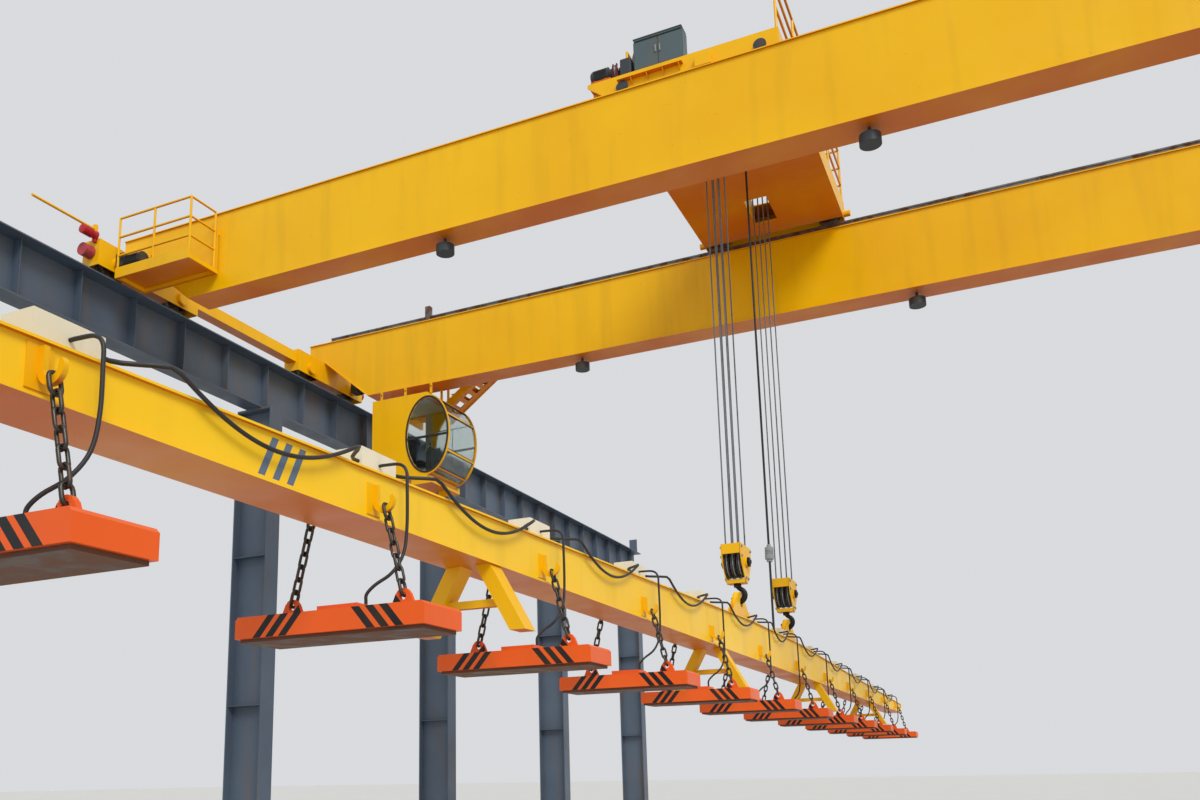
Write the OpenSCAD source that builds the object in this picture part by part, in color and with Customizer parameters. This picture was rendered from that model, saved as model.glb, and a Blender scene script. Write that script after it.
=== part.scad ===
// Double-girder overhead travelling crane with a driver's cab and a hung magnet beam,
// standing on its own elevated runway of two column rows.
// X runs across the hall, Y along the runway, Z up. The origin is on the floor in the runway's middle.

/* [Runway] */
// Number of runway bays
bays = 5; // [3:1:6]
// Column spacing along the runway
bay = 7500; // [7200:50:7600]
// Length of runway beam past the outer columns
runway_overhang = 750; // [500:10:900]
// Distance between the two crane rails
span = 28500; // [26500:100:29500]
// Height of the crane rail's running surface
rail_top = 10670; // [10000:10:11400]
// Depth of the runway girder
runway_depth = 1060; // [900:10:1200]
// Width of the runway girder's top flange
runway_flange = 640; // [560:10:680]
// Width of the runway girder's bottom flange
runway_foot = 420; // [360:10:460]
// Thickness of the runway girder's flanges
runway_plate = 24; // [18:1:32]
// Thickness of the runway girder's web
runway_web = 14; // [10:1:18]
// Web stiffeners in each runway bay
stiffeners_per_bay = 6; // [4:1:8]
// Height of the crane rail
rail_h = 130; // [110:1:150]
// Width of the crane rail's head
rail_head = 80; // [70:1:90]

/* [Columns] */
// Column depth across the runway
column_depth = 900; // [700:10:1000]
// Column flange width along the runway
column_width = 400; // [320:10:460]
// Column flange thickness
column_flange = 28; // [20:1:36]
// Column web thickness
column_web = 16; // [12:1:24]
// Thickness of the column's base plate and cap plate
column_plate = 40; // [30:1:50]
// Radius of the anchor bolt holes in a base plate
anchor_r = 22; // [16:1:26]

/* [Bridge girders] */
// Distance between the two girders' middles
girder_gauge = 5700; // [5500:10:6000]
// Full depth of a girder
girder_depth = 1520; // [1300:10:1600]
// Depth of a girder at its ends
girder_end_depth = 500; // [450:10:600]
// Width of a girder over its webs
girder_width = 500; // [460:10:560]
// How far a flange stands out past the web
girder_lip = 30; // [20:1:50]
// Thickness of a girder's flanges
girder_flange = 18; // [12:1:24]
// Thickness of a girder's webs
girder_web = 12; // [8:1:16]
// Length of the sloping part under a girder's end
girder_haunch = 1210; // [1000:10:1600]
// Girder length past the crane rail's middle
girder_overrun = 250; // [230:5:280]

/* [End carriages] */
// Length of one truck
truck_length = 2500; // [2300:10:2700]
// Width of a truck over its side plates
truck_width = 400; // [360:10:420]
// Height of a truck
truck_height = 500; // [460:10:540]
// Gap between the crane rail and a truck's underside
truck_clearance = 90; // [80:1:120]
// Thickness of a truck's plates
truck_plate = 16; // [12:1:20]
// Tread radius of a bridge wheel
wheel_r = 250; // [220:5:270]
// Distance between the two wheels of a truck
truck_wheelbase = 1600; // [1500:10:1700]
// Radius of a bridge wheel's axle
axle_r = 60; // [50:1:70]
// Radial running clearance of axles in their bearings
running_fit = 0.05; // [0.03:0.01:0.08]
// Gap between a wheel's tread and the rail it stands on
seat_gap = 0.3; // [0.2:0.1:0.5]

/* [Crab] */
// Wheelbase of the crab along the bridge
crab_wheelbase = 2150; // [2000:10:2300]
// Length of the crab frame along the bridge
crab_length = 2700; // [2600:10:2900]
// Tread radius of a crab wheel
crab_wheel_r = 200; // [180:5:220]
// Height of the crab rail
crab_rail_h = 100; // [80:1:120]
// Height of the crab frame's side beams
crab_beam_h = 380; // [350:5:420]
// Length of a rope opening in the crab's floor
rope_slot_length = 900; // [800:10:1000]
// Width of a rope opening in the crab's floor
rope_slot_width = 420; // [400:10:460]

/* [Hoist] */
// Distance between the two hooks
hook_spacing = 3200; // [3000:50:3400]
// Diameter of a hoist rope
rope_d = 24; // [20:1:28]
// Sheaves in each hook block
sheaves = 3; // [2:1:4]
// Distance between neighbouring sheaves
sheave_pitch = 90; // [80:1:100]
// Radius of a sheave at the rope's middle
sheave_r = 210; // [190:1:225]
// Height of a hook block's housing
block_height = 560; // [540:5:600]

/* [Magnet beam] */
// Length of the beam that carries the magnets
beam_length = 30000; // [29600:100:30200]
// Depth of the beam at its middle
beam_depth = 560; // [500:10:620]
// Depth of the beam at its ends
beam_end_depth = 240; // [200:10:300]
// Width of the beam over its webs
beam_width = 370; // [340:5:400]
// Height of the beam's underside above the floor
beam_under = 3200; // [3000:10:3400]
// Number of magnets
magnets_n = 12; // [8:2:12]
// Distance between neighbouring magnets
magnet_pitch = 2500; // [2300:10:2550]
// Length of a magnet across the beam
magnet_length = 1400; // [1300:10:1500]
// Width of a magnet along the beam
magnet_width = 440; // [400:10:480]
// Height of a magnet
magnet_height = 160; // [140:5:190]
// Distance of a magnet's lugs from its middle
lug_offset = 420; // [380:5:460]
// Height of a lug's hole above the beam's underside, counted downwards
lug_drop = 500; // [470:5:540]
// Diameter of the chain's bar
chain_bar = 22; // [18:1:24]
// Clear width inside a chain link
chain_gap = 38; // [36:1:42]

/* [Hidden] */

// Finishes
crane_yellow = "#f2bf10";
steel_blue = "#4f5b68";
bare_steel = "#8d8f90";
dark_steel = "#2f3133";
magnet_orange = "#e8622a";
signal_red = "#c22b2e";
cable_black = "#26262a";
cream = "#e6e0cc";

// Runway
runway_length = bays * bay + 2 * runway_overhang;
rail_x = span / 2;
runway_top = rail_top - rail_h;
runway_under = runway_top - runway_depth;
bracket_h = 0;
stop_height = 620;
stop_plate = 30;

// Bridge. The crane stands this far from the runway's middle.
bridge_y = -4350;
truck_under = rail_top + truck_clearance;
truck_top = truck_under + truck_height;
girder_top = truck_top + girder_end_depth;
girder_under = girder_top - girder_depth;
girder_y = girder_gauge / 2;
girder_half = rail_x + girder_overrun;
girder_seat = girder_overrun + truck_width / 2;
axle_z = rail_top + seat_gap + wheel_r;
wheel_ys = [for (g = [-girder_y, girder_y], w = [-1, 1]) g + w * truck_wheelbase / 2];
wheel_tread = rail_head + 20;
wheel_lip = 22;
wheel_lip_w = 20;
boss_r = 130;
boss_t = 60;
tie_height = 240;
tie_width = 260;

// Crab. It stands this far from mid-span.
crab_x = -3400;
crab_rail_y = girder_y - girder_width / 2 + 30;
crab_rail_top = girder_top + crab_rail_h;
crab_axle_z = crab_rail_top + seat_gap + crab_wheel_r;
crab_axle_r = 45;
crab_under = crab_rail_top + 60;
crab_deck = crab_under + crab_beam_h;
crab_beam_w = 230;
crab_half = crab_length / 2;
crab_side = crab_rail_y + crab_beam_w / 2;
crab_plate = 16;
crab_wheel_w = 80;
crab_stop_left = -11240;
crab_stop_right = 13140;
crab_stop_top = crab_rail_top + 230;

// Hoist
hook_y = hook_spacing / 2;
block_under = 4320;
block_top = block_under + block_height;
sheave_z = block_top - 250;
upper_z = crab_deck + 330;
groove_r = sheave_r - rope_d / 2 - 0.4;
block_width = sheaves * sheave_pitch + 110;
block_plate = 20;

// Magnet beam
beam_top = beam_under + beam_depth;
beam_level = 3200;
beam_lip = 25;
beam_plate = 14;
lug_z = beam_under - lug_drop;
magnet_top = lug_z - 75;
magnet_under = magnet_top - magnet_height;
sole_h = 22;
hook_out = beam_width / 2 + 95;
hook_seat_z = beam_under + 80;
hook_plate = 28;
lug_plate = 30;
lug_hole_r = 24;
magnet_ys = [for (i = [0 : magnets_n - 1]) (i - (magnets_n - 1) / 2) * magnet_pitch];

// Cab, hung under the rear girder near its left end
cab_left = -12500;
cab_front = -11080;
cab_top = girder_under - 300;
cab_height = 1940;
cab_floor = cab_top - cab_height;
cab_near = 2300;
cab_width = 1250;
cab_far = cab_near + cab_width;
cab_wall = 40;
cab_mid = cab_floor + cab_height / 2;
door_width = 620;
nose_a = 560;
nose_b = cab_height / 2 - 60;
window_a = 510;
window_b = 835;
glass = 10;

// Draws one axis-aligned block between two opposite corners
module block(lo, hi) { translate(lo) cube(hi - lo); }

// Extrudes a profile given in X and Z along Y
module along_y(y0, len) { translate([0, y0 + len, 0]) rotate([90, 0, 0]) linear_extrude(len) children(); }

// Extrudes a profile given in Y and Z along X
module along_x(x0, len) { translate([x0, 0, 0]) rotate([90, 0, 90]) linear_extrude(len) children(); }

// Draws a round bar between two points
module rod(p, q, d, sides = 8) {
    v = q - p;
    translate(p) rotate([0, acos(v.z / norm(v)), atan2(v.y, v.x)])
        cylinder(h = norm(v), d = d, $fn = sides);
}

// Places the crane, and the crab on it
module at_bridge() { translate([0, bridge_y, 0]) children(); }
module at_crab() { translate([crab_x, bridge_y, 0]) children(); }

// Runway

module column() {
    h = runway_under - 2 * column_plate;
    translate([0, 0, column_plate]) linear_extrude(h) {
        for (s = [-1, 1]) translate([s * (column_depth - column_flange) / 2, 0])
            square([column_flange, column_width], center = true);
        square([column_depth, column_web], center = true);
    }
    plate_x = column_depth + 200;
    plate_y = column_width + 200;
    difference() {
        translate([-plate_x / 2, -plate_y / 2, 0]) cube([plate_x, plate_y, column_plate]);
        for (x = [-1, 1], y = [-1, 1]) translate([x * (plate_x / 2 - 50), y * (plate_y / 2 - 50), -1])
            cylinder(h = column_plate + 2, r = anchor_r, $fn = 48);
    }
    translate([-column_depth / 2, -column_width / 2, runway_under - column_plate])
        cube([column_depth, column_width, column_plate]);
    // Gussets at the foot, and stiffeners under the runway beam
    for (s = [-1, 1]) translate([s * column_depth / 2, 0, column_plate])
        along_y(-8, 16) polygon([[0, 0], [s * 90, 0], [0, 300]]);
    for (z = [0.33, 0.66, 1]) translate([0, 0, column_plate + h * z - 14])
        linear_extrude(14) square([column_depth - 2, column_width - 40], center = true);
}

module column_row(side) {
    color(steel_blue) for (i = [0 : bays]) translate([side * rail_x, (i - bays / 2) * bay, 0]) column();
}

// Welded I-beam, its stiffeners on both faces and a stop at each end
module runway_girder(side) {
    color(steel_blue) translate([side * rail_x, 0, 0]) {
        along_y(-runway_length / 2, runway_length) {
            translate([-runway_flange / 2, runway_top - runway_plate]) square([runway_flange, runway_plate]);
            translate([-runway_foot / 2, runway_under]) square([runway_foot, runway_plate]);
            translate([-runway_web / 2, runway_under]) square([runway_web, runway_depth]);
        }
        pitch = bay / stiffeners_per_bay;
        count = bays * stiffeners_per_bay;
        for (i = [0 : count]) translate([0, (i - count / 2) * pitch, 0])
            block([-runway_foot / 2 + 20, -6, runway_under + 10], [runway_foot / 2 - 20, 6, runway_top - 10]);
        for (e = [-1, 1]) translate([0, e * (runway_length / 2 - stop_plate / 2), 0]) {
            block([-160, -stop_plate / 2, runway_top - 2], [160, stop_plate / 2, runway_top + stop_height]);
        }
    }
}

module rail_profile(head, h) {
    polygon([[-0.8 * head, 0], [0.8 * head, 0], [0.8 * head, 0.12 * h], [0.25 * head, 0.28 * h],
             [0.25 * head, 0.6 * h], [0.5 * head, 0.7 * h], [0.5 * head, 0.95 * h], [0.42 * head, h],
             [-0.42 * head, h], [-0.5 * head, 0.95 * h], [-0.5 * head, 0.7 * h], [-0.25 * head, 0.6 * h],
             [-0.25 * head, 0.28 * h], [-0.8 * head, 0.12 * h]]);
}

module runway_rail(side) {
    len = runway_length - 2 * stop_plate;
    color(bare_steel) translate([side * rail_x, 0, runway_top])
        along_y(-len / 2, len) rail_profile(rail_head, rail_h);
}

// Bridge girders

girder_outline = [
    [-girder_half, truck_top], [-girder_half + girder_seat, truck_top],
    [-girder_half + girder_seat + girder_haunch, girder_under],
    [girder_half - girder_seat - girder_haunch, girder_under],
    [girder_half - girder_seat, truck_top], [girder_half, truck_top],
    [girder_half, girder_top], [-girder_half, girder_top]];

module girder_skin(t) {
    polygon([
        [-girder_half, truck_top], [-girder_half + girder_seat, truck_top],
        [-girder_half + girder_seat + girder_haunch, girder_under],
        [girder_half - girder_seat - girder_haunch, girder_under],
        [girder_half - girder_seat, truck_top], [girder_half, truck_top],
        [girder_half, truck_top + t], [girder_half - girder_seat, truck_top + t],
        [girder_half - girder_seat - girder_haunch, girder_under + t],
        [-girder_half + girder_seat + girder_haunch, girder_under + t],
        [-girder_half + girder_seat, truck_top + t], [-girder_half, truck_top + t]]);
}

// Box girder: two webs, a flat top flange, and a bottom flange that follows the notched ends
module girder(side) {
    y0 = side * girder_y;
    color(crane_yellow) at_bridge() {
        for (w = [-1, 1]) {
            inner = w * (girder_width / 2 - girder_web);
            along_y(y0 + min(inner, w * girder_width / 2), girder_web) polygon(girder_outline);
        }
        along_y(y0 - girder_width / 2 - girder_lip, girder_width + 2 * girder_lip) girder_skin(girder_flange);
        block([-girder_half, y0 - girder_width / 2 - girder_lip, girder_top - girder_flange],
              [girder_half, y0 + girder_width / 2 + girder_lip, girder_top]);
        for (e = [-1, 1]) block([min(e * girder_half, e * (girder_half - girder_web)), y0 - girder_width / 2, truck_top],
                                [max(e * girder_half, e * (girder_half - girder_web)), y0 + girder_width / 2, girder_top]);
    }
}

module crab_rails() {
    len = 2 * girder_half - 1200;
    color(bare_steel) at_bridge() for (s = [-1, 1])
        along_x(-len / 2, len) translate([s * crab_rail_y, girder_top]) rail_profile(60, crab_rail_h);
    // End stops for the crab's buffers
    color(bare_steel) at_bridge() for (s = [-1, 1], x = [crab_stop_left, crab_stop_right])
        block([x - 60, s * crab_rail_y - 60, girder_top], [x + 60, s * crab_rail_y + 60, crab_stop_top]);
}

// End carriages

module axle_bore(y) {
    translate([0, y, axle_z]) rotate([0, 90, 0])
        cylinder(h = truck_width + 2 * boss_t + 2, r = axle_r + running_fit, center = true, $fn = 64);
}

// One truck: an open-bottomed box with a bearing boss and cap on each end of both axles
module truck(y) {
    difference() {
        union() {
            for (s = [-1, 1]) translate([s * (truck_width - truck_plate) / 2, y, truck_under + truck_height / 2])
                cube([truck_plate, truck_length, truck_height], center = true);
            block([-truck_width / 2, y - truck_length / 2, truck_top - truck_plate],
                  [truck_width / 2, y + truck_length / 2, truck_top]);
            for (e = [-1, 1]) translate([0, y + e * (truck_length - truck_plate) / 2, truck_under + truck_height / 2])
                cube([truck_width, truck_plate, truck_height], center = true);
            block([-truck_width / 2, y - truck_wheelbase / 2 + wheel_r + 60, truck_under],
                  [truck_width / 2, y + truck_wheelbase / 2 - wheel_r - 60, truck_under + truck_plate]);
            for (w = [-1, 1], s = [-1, 1])
                translate([s * truck_width / 2, y + w * truck_wheelbase / 2, axle_z]) rotate([0, s * 90, 0])
                    translate([0, 0, -1]) cylinder(h = boss_t + 1, r = boss_r, $fn = 64);
        }
        for (w = [-1, 1]) axle_bore(y + w * truck_wheelbase / 2);
    }
    // Bearing caps close the bosses
    for (w = [-1, 1], s = [-1, 1])
        translate([s * (truck_width / 2 + boss_t), y + w * truck_wheelbase / 2, axle_z]) rotate([0, s * 90, 0])
            cylinder(h = 14, r = boss_r - 14, $fn = 64);
}

module end_carriage(side) {
    color(crane_yellow) at_bridge() translate([side * rail_x, 0, 0]) {
        for (g = [-1, 1]) truck(g * girder_y);
        reach = girder_y - truck_length / 2 + 10;
        block([-tie_width / 2, -reach, truck_top - 60 - tie_height], [tie_width / 2, reach, truck_top - 60]);
        // Posts and long striker rods that keep neighbouring cranes apart
        for (e = [-1, 1]) {
            y = e * (girder_y + truck_length / 2 - 60);
            block([-40, y - 30, truck_top - 2], [40, y + 30, truck_top + 330]);
            rod([0, y, truck_top + 240], [0, y + e * 1350, truck_top + 240], 50, 12);
        }
    }
}

module wheel_disc(tread_r, tread, lip, lip_w, hub_r) {
    w = tread / 2;
    rotate_extrude($fn = 96) polygon([
        [0, -w - lip_w], [hub_r, -w - lip_w], [hub_r, -w + 10], [tread_r - 50, -w + 10],
        [tread_r - 50, -w - lip_w], [tread_r + lip, -w - lip_w], [tread_r + lip, -w], [tread_r, -w],
        [tread_r, w], [tread_r + lip, w], [tread_r + lip, w + lip_w], [tread_r - 50, w + lip_w],
        [tread_r - 50, w - 10], [hub_r, w - 10], [hub_r, w + lip_w], [0, w + lip_w]]);
}

// The two wheels, one on each rail, that stand on one line across the bridge
module bridge_wheels(i) {
    color(bare_steel) at_bridge() for (s = [-1, 1]) translate([s * rail_x, wheel_ys[i], axle_z]) rotate([0, 90, 0]) {
        wheel_disc(wheel_r, wheel_tread, wheel_lip, wheel_lip_w, axle_r + 35);
        cylinder(h = truck_width + 2 * boss_t - 4, r = axle_r, center = true, $fn = 64);
    }
}

buffer_y = girder_y + truck_length / 2;
module buffers() {
    color(signal_red) at_bridge() for (s = [-1, 1], e = [-1, 1])
        translate([s * rail_x, e * buffer_y, truck_under + truck_height / 2]) rotate([-e * 90, 0, 0])
            cylinder(h = 200, r = 120, $fn = 48);
}

// Travel drives: a helical gear box on each outer axle with a motor beside it
module travel_drives() {
    color(dark_steel) at_bridge() for (s = [-1, 1], e = [-1, 1])
        translate([s * (rail_x - truck_width / 2 - boss_t - 14), e * (girder_y + truck_wheelbase / 2), axle_z]) {
            dir = -s;
            block([min(0, dir * 170), -130, -100], [max(0, dir * 170), 130, 150]);
            translate([dir * 169, 0, 0]) rotate([0, dir * 90, 0]) cylinder(h = 330, r = 120, $fn = 48);
            translate([dir * 498, 0, 0]) rotate([0, dir * 90, 0]) cylinder(h = 60, r = 130, $fn = 48);
        }
}

module siren() {
    color(signal_red) at_bridge() translate([-rail_x + 110, -buffer_y, truck_top]) {
        translate([0, -330, 60]) rotate([-90, 0, 0]) cylinder(h = 320, r = 85, $fn = 48);
        block([-30, -60, -80], [30, -0.3, 20]);
    }
}

// Service platforms beside the front girder's ends

platform_in = rail_x - truck_width / 2 - 150;
platform_length = 1750;
platform_width = 750;
platform_z = girder_under + 390;
railing_h = 1100;
tube_d = 42;

module service_platforms() {
    web = -girder_y - girder_width / 2;
    y1 = web - girder_lip - 0.3;
    y0 = web - platform_width;
    color(crane_yellow) at_bridge() for (s = [-1, 1]) {
        x0 = s * platform_in;
        x1 = s * (platform_in - platform_length);
        lo = min(x0, x1);
        hi = max(x0, x1);
        block([lo, y0, platform_z - 8], [hi, y1, platform_z]);
        block([lo, y0, platform_z - 8], [hi, y0 + 8, platform_z + 120]);
        for (x = [lo, hi - 60]) block([x, y0, platform_z - 80], [x + 60, y1, platform_z - 4]);
        block([lo, y0, platform_z - 80], [hi, y0 + 60, platform_z - 4]);
        block([lo, y1 - 60, platform_z - 80], [hi, y1, platform_z - 4]);
        // Hangers to the girder's web
        for (x = [x0 - s * 60, x1 + s * 60]) {
            block([x - 40, y1 - 12, platform_z - 80], [x + 40, y1, truck_top + 200]);
            block([x - 40, y1 - 12, truck_top + 60], [x + 40, web - 0.3, truck_top + 200]);
        }
    }
}

module railing_run(p, q, posts, h = railing_h) {
    for (i = [0 : posts - 1]) {
        foot = p + (q - p) * i / (posts - 1);
        rod(foot, foot + [0, 0, h], tube_d);
    }
    for (f = [1, 0.66, 0.33]) rod(p + [0, 0, h * f], q + [0, 0, h * f], tube_d);
}

module platform_railings() {
    y1 = -girder_y - girder_width / 2;
    y0 = y1 - platform_width + 30;
    color(crane_yellow) at_bridge() for (s = [-1, 1]) {
        a = [s * (platform_in - 30), y0, platform_z];
        b = [s * (platform_in - platform_length + 30), y0, platform_z];
        c = [b.x, y1 - 110, platform_z];
        railing_run(a, b, 3);
        railing_run(b, c, 2);
    }
}

walk_z = girder_top - 700;
walk_width = 800;
walk_half = girder_half - 1200;
module rear_walkway() {
    y0 = girder_y + girder_width / 2;
    color(crane_yellow) at_bridge() {
        block([-walk_half, y0, walk_z - 8], [walk_half, y0 + walk_width, walk_z]);
        block([-walk_half, y0 + walk_width - 8, walk_z - 80], [walk_half, y0 + walk_width, walk_z + 120]);
        count = 14;
        for (i = [0 : count]) {
            x = -walk_half + 30 + i * (2 * walk_half - 60) / count;
            translate([x, 0, 0]) along_x(-5, 10)
                polygon([[y0, walk_z - 4], [y0 + walk_width - 4, walk_z - 4], [y0 + walk_width - 4, walk_z - 70], [y0, walk_z - 300]]);
        }
    }
}

module rear_railing() {
    y0 = girder_y + girder_width / 2 + walk_width - 30;
    color(crane_yellow) at_bridge()
        railing_run([-walk_half + 30, y0, walk_z], [walk_half - 30, y0, walk_z], 19);
}

// Driver's cab

function ellipse_points(a, b, from, to, n) =
    [for (i = [0 : n]) let (t = from + (to - from) * i / n) [a * cos(t), b * sin(t)]];

cab_outline = concat(
    [[cab_left, cab_floor], [cab_front, cab_floor]],
    [for (p = ellipse_points(nose_a, nose_b, -90, 90, 24)) [cab_front + p.x, cab_mid + p.y]],
    [[cab_front, cab_top], [cab_left, cab_top]]);

module cab_side_profile() {
    difference() {
        polygon(cab_outline);
        translate([cab_front, cab_mid]) polygon(ellipse_points(window_a, window_b, 0, 345, 23));
    }
}

// A stretch of the curved front, between two depths below its outline
module nose_band(y0, len, outer, inner, from, to, n) {
    along_y(y0, len) translate([cab_front, cab_mid]) polygon(concat(
        ellipse_points(nose_a - outer, nose_b - outer, from, to, n),
        ellipse_points(nose_a - inner, nose_b - inner, to, from, n)));
}

module cab_body() {
    color(crane_yellow) at_bridge() {
        along_y(cab_near, cab_wall) cab_side_profile();
        along_y(cab_far - cab_wall, cab_wall) difference() {
            cab_side_profile();
            translate([cab_left + 120, cab_floor + cab_wall]) square([door_width, cab_height - 2 * cab_wall - 60]);
        }
        block([cab_left, cab_near, cab_floor], [cab_front, cab_far, cab_floor + cab_wall]);
        block([cab_left, cab_near, cab_top - cab_wall], [cab_front, cab_far, cab_top]);
        block([cab_left, cab_near, cab_floor], [cab_left + cab_wall, cab_far, cab_top]);
        // Sill and header of the curved front
        for (s = [-1, 1]) {
            nose_band(cab_near, cab_width, 0, 60, s * 90, s * 79, 3);
            along_y(cab_near, cab_width) translate([cab_front, cab_mid])
                polygon([[-60, s * (nose_b - 70)], [20, s * (nose_b - 70)], [20, s * (nose_b - 1)], [0, s * cab_height / 2], [-60, s * cab_height / 2]]);
        }
        // Cross bars on the outside of the glazing
        for (t = [-62, -28, 28, 60]) {
            a = nose_a - 30;
            b = nose_b - 30;
            n = atan2(a * sin(t), b * cos(t));
            translate([cab_front + a * cos(t), 0, cab_mid + b * sin(t)]) rotate([0, -n, 0])
                block([0.3, cab_near + 1, -22], [26, cab_far - 1, 22]);
        }
        // Hangers up to the girder
        for (x = [cab_left + 30, cab_left + 660, cab_front - 90], y = [cab_near + 270, cab_near + 730])
            block([x, y, cab_top - 4], [x + 60, y + 12, girder_under]);
        // Footrest frame under the front
        block([cab_front + 60, cab_near + 20, cab_floor - 130], [cab_front + 120, cab_far - 20, cab_floor - 70]);
        for (y = [cab_near + 20, cab_far - 80])
            block([cab_front - 400, y, cab_floor - 130], [cab_front + 120, y + 60, cab_floor + 2]);
    }
}

module cab_glass() {
    color([0.6, 0.7, 0.72, 0.5]) at_bridge() {
        nose_band(cab_near + cab_wall + 0.3, cab_width - 2 * cab_wall - 0.6, 30, 30 + glass, -78, 78, 24);
        for (y = [cab_near + cab_wall / 2 - glass / 2, cab_far - cab_wall / 2 - glass / 2])
            along_y(y, glass) translate([cab_front, cab_mid])
                polygon(ellipse_points(window_a - 0.3, window_b - 0.3, 0, 345, 23));
    }
}

module cab_seat() {
    color(dark_steel) at_bridge() translate([cab_front - 580, (cab_near + cab_far) / 2, cab_floor + cab_wall]) {
        cylinder(h = 420, r = 60, $fn = 32);
        block([-240, -240, 419], [240, 240, 520]);
        block([-260, -230, 500], [-160, 230, 1150]);
        block([360, -300, 0], [500, 300, 760]);
    }
}

// Stair down from the walkway to a landing level with the cab's roof
stair_y = cab_far + 60;
landing_z = cab_top + 60;
landing_x = -11600;
stair_x = -10100;
module cab_stair() {
    color(crane_yellow) at_bridge() {
        for (y = [stair_y, stair_y + 592]) along_y(y, 8) polygon([
            [landing_x, landing_z - 180], [landing_x + 60, landing_z - 180], [stair_x, walk_z - 190], [stair_x, walk_z - 8],
            [stair_x - 40, walk_z - 8], [landing_x, landing_z]]);
        n = 5;
        for (i = [1 : n]) {
            f = i / (n + 1);
            translate([landing_x + (stair_x - landing_x) * f, 0, landing_z + (walk_z - landing_z) * f - 20])
                block([-130, stair_y + 4, -8], [110, stair_y + 596, 0]);
        }
        block([landing_x - 800, stair_y, landing_z - 8], [landing_x + 20, stair_y + 600, landing_z]);
        block([landing_x - 800, stair_y, landing_z - 180], [landing_x - 740, stair_y + 600, landing_z]);
        for (x = [landing_x - 790, landing_x - 60]) block([x, stair_y + 560, landing_z - 4], [x + 50, stair_y + 600, walk_z - 0.3]);
    }
}

module lamps() {
    color(dark_steel) at_bridge() for (g = [-1, 1], x = [-7600, -900, 6000])
        translate([x, g * girder_y, girder_under]) {
            translate([0, 0, -120]) cylinder(h = 120 - 0.3, r = 25, $fn = 24);
            translate([0, 0, -260]) cylinder(h = 141, r = 150, $fn = 48);
        }
}

// Crab

module crab_bore(x, s) {
    translate([x, s * crab_rail_y, crab_axle_z]) rotate([90, 0, 0])
        cylinder(h = crab_beam_w + 82, r = crab_axle_r + running_fit, center = true, $fn = 48);
}

module rope_opening(y) {
    block([-rope_slot_width / 2, y - rope_slot_length / 2, crab_under - 30],
          [rope_slot_width / 2, y + rope_slot_length / 2, crab_deck + 30]);
}

// Frame: two side beams over the wheels, cross beams, and floor plates with the rope openings
module crab_frame() {
    color(crane_yellow) at_crab() difference() {
        union() {
            for (s = [-1, 1]) for (w = [-1, 1]) {
                inner = s * crab_rail_y + w * (crab_beam_w / 2 - crab_plate / 2);
                translate([0, inner, (crab_under + crab_deck) / 2]) cube([crab_length, crab_plate, crab_beam_h], center = true);
            }
            for (s = [-1, 1]) block([-crab_half, min(s * crab_side, s * (crab_rail_y - crab_beam_w / 2)), crab_deck - crab_plate],
                                    [crab_half, max(s * crab_side, s * (crab_rail_y - crab_beam_w / 2)), crab_deck]);
            block([-crab_half, -crab_rail_y + crab_beam_w / 2 - crab_plate, crab_deck - crab_plate],
                  [crab_half, crab_rail_y - crab_beam_w / 2 + crab_plate, crab_deck]);
            block([-crab_half, -crab_rail_y + crab_beam_w / 2 - crab_plate, crab_under],
                  [crab_half, crab_rail_y - crab_beam_w / 2 + crab_plate, crab_under + crab_plate]);
            for (e = [-1, 1]) translate([e * (crab_half - crab_plate / 2), 0, (crab_under + crab_deck) / 2])
                cube([crab_plate, 2 * crab_side, crab_beam_h], center = true);
            for (y = [-hook_y, hook_y], e = [-1, 1], s = [-1, 1])
                translate([e * (rope_slot_width / 2 + crab_plate / 2 + 1), y, (crab_under + crab_deck) / 2])
                    cube([crab_plate, rope_slot_length, crab_beam_h], center = true);
            for (x = [-1, 1], s = [-1, 1]) translate([x * crab_wheelbase / 2, s * crab_rail_y, crab_axle_z])
                rotate([90, 0, 0]) cylinder(h = crab_beam_w + 80, r = 95, center = true, $fn = 48);
            block([-crab_half - 320, -crab_side, crab_deck - crab_plate], [-crab_half + 1, -crab_side + 270, crab_deck]);
            for (y = [-crab_side, -crab_side + 270 - crab_plate]) along_y(y, crab_plate)
                polygon([[-crab_half - 320, crab_deck - 4], [-crab_half + 1, crab_deck - 4], [-crab_half + 1, crab_under + 60],
                         [-crab_half - 320, crab_deck - 60]]);
            // Buffers' bosses at both ends
            for (e = [-1, 1], s = [-1, 1]) translate([e * (crab_half - 1), s * crab_rail_y, crab_under + 90]) rotate([0, e * 90, 0])
                cylinder(h = 120, r = 60, $fn = 48);
        }
        for (y = [-hook_y, hook_y]) rope_opening(y);
        for (x = [-1, 1], s = [-1, 1]) {
            crab_bore(x * crab_wheelbase / 2, s);
            translate([x * crab_wheelbase / 2, s * crab_rail_y, crab_axle_z]) rotate([90, 0, 0])
                cylinder(h = crab_wheel_w + 60, r = crab_wheel_r + 25, center = true, $fn = 64);
        }
    }
}

module crab_wheels(side) {
    color(bare_steel) at_crab() for (s = [-1, 1])
        translate([side * crab_wheelbase / 2, s * crab_rail_y, crab_axle_z]) rotate([90, 0, 0]) {
            wheel_disc(crab_wheel_r, 72, 15, 14, crab_axle_r + 25);
            cylinder(h = crab_beam_w + 76, r = crab_axle_r, center = true, $fn = 48);
        }
}

module crab_railing() {
    y = crab_side - 30;
    x = crab_half - 30;
    color(crane_yellow) at_crab() {
        railing_run([x, -y, crab_deck], [x, y, crab_deck], 5);
        railing_run([-x, -y + 900, crab_deck], [-x, y, crab_deck], 4);
        railing_run([-x, y, crab_deck], [x, y, crab_deck], 3);
    }
}

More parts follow.
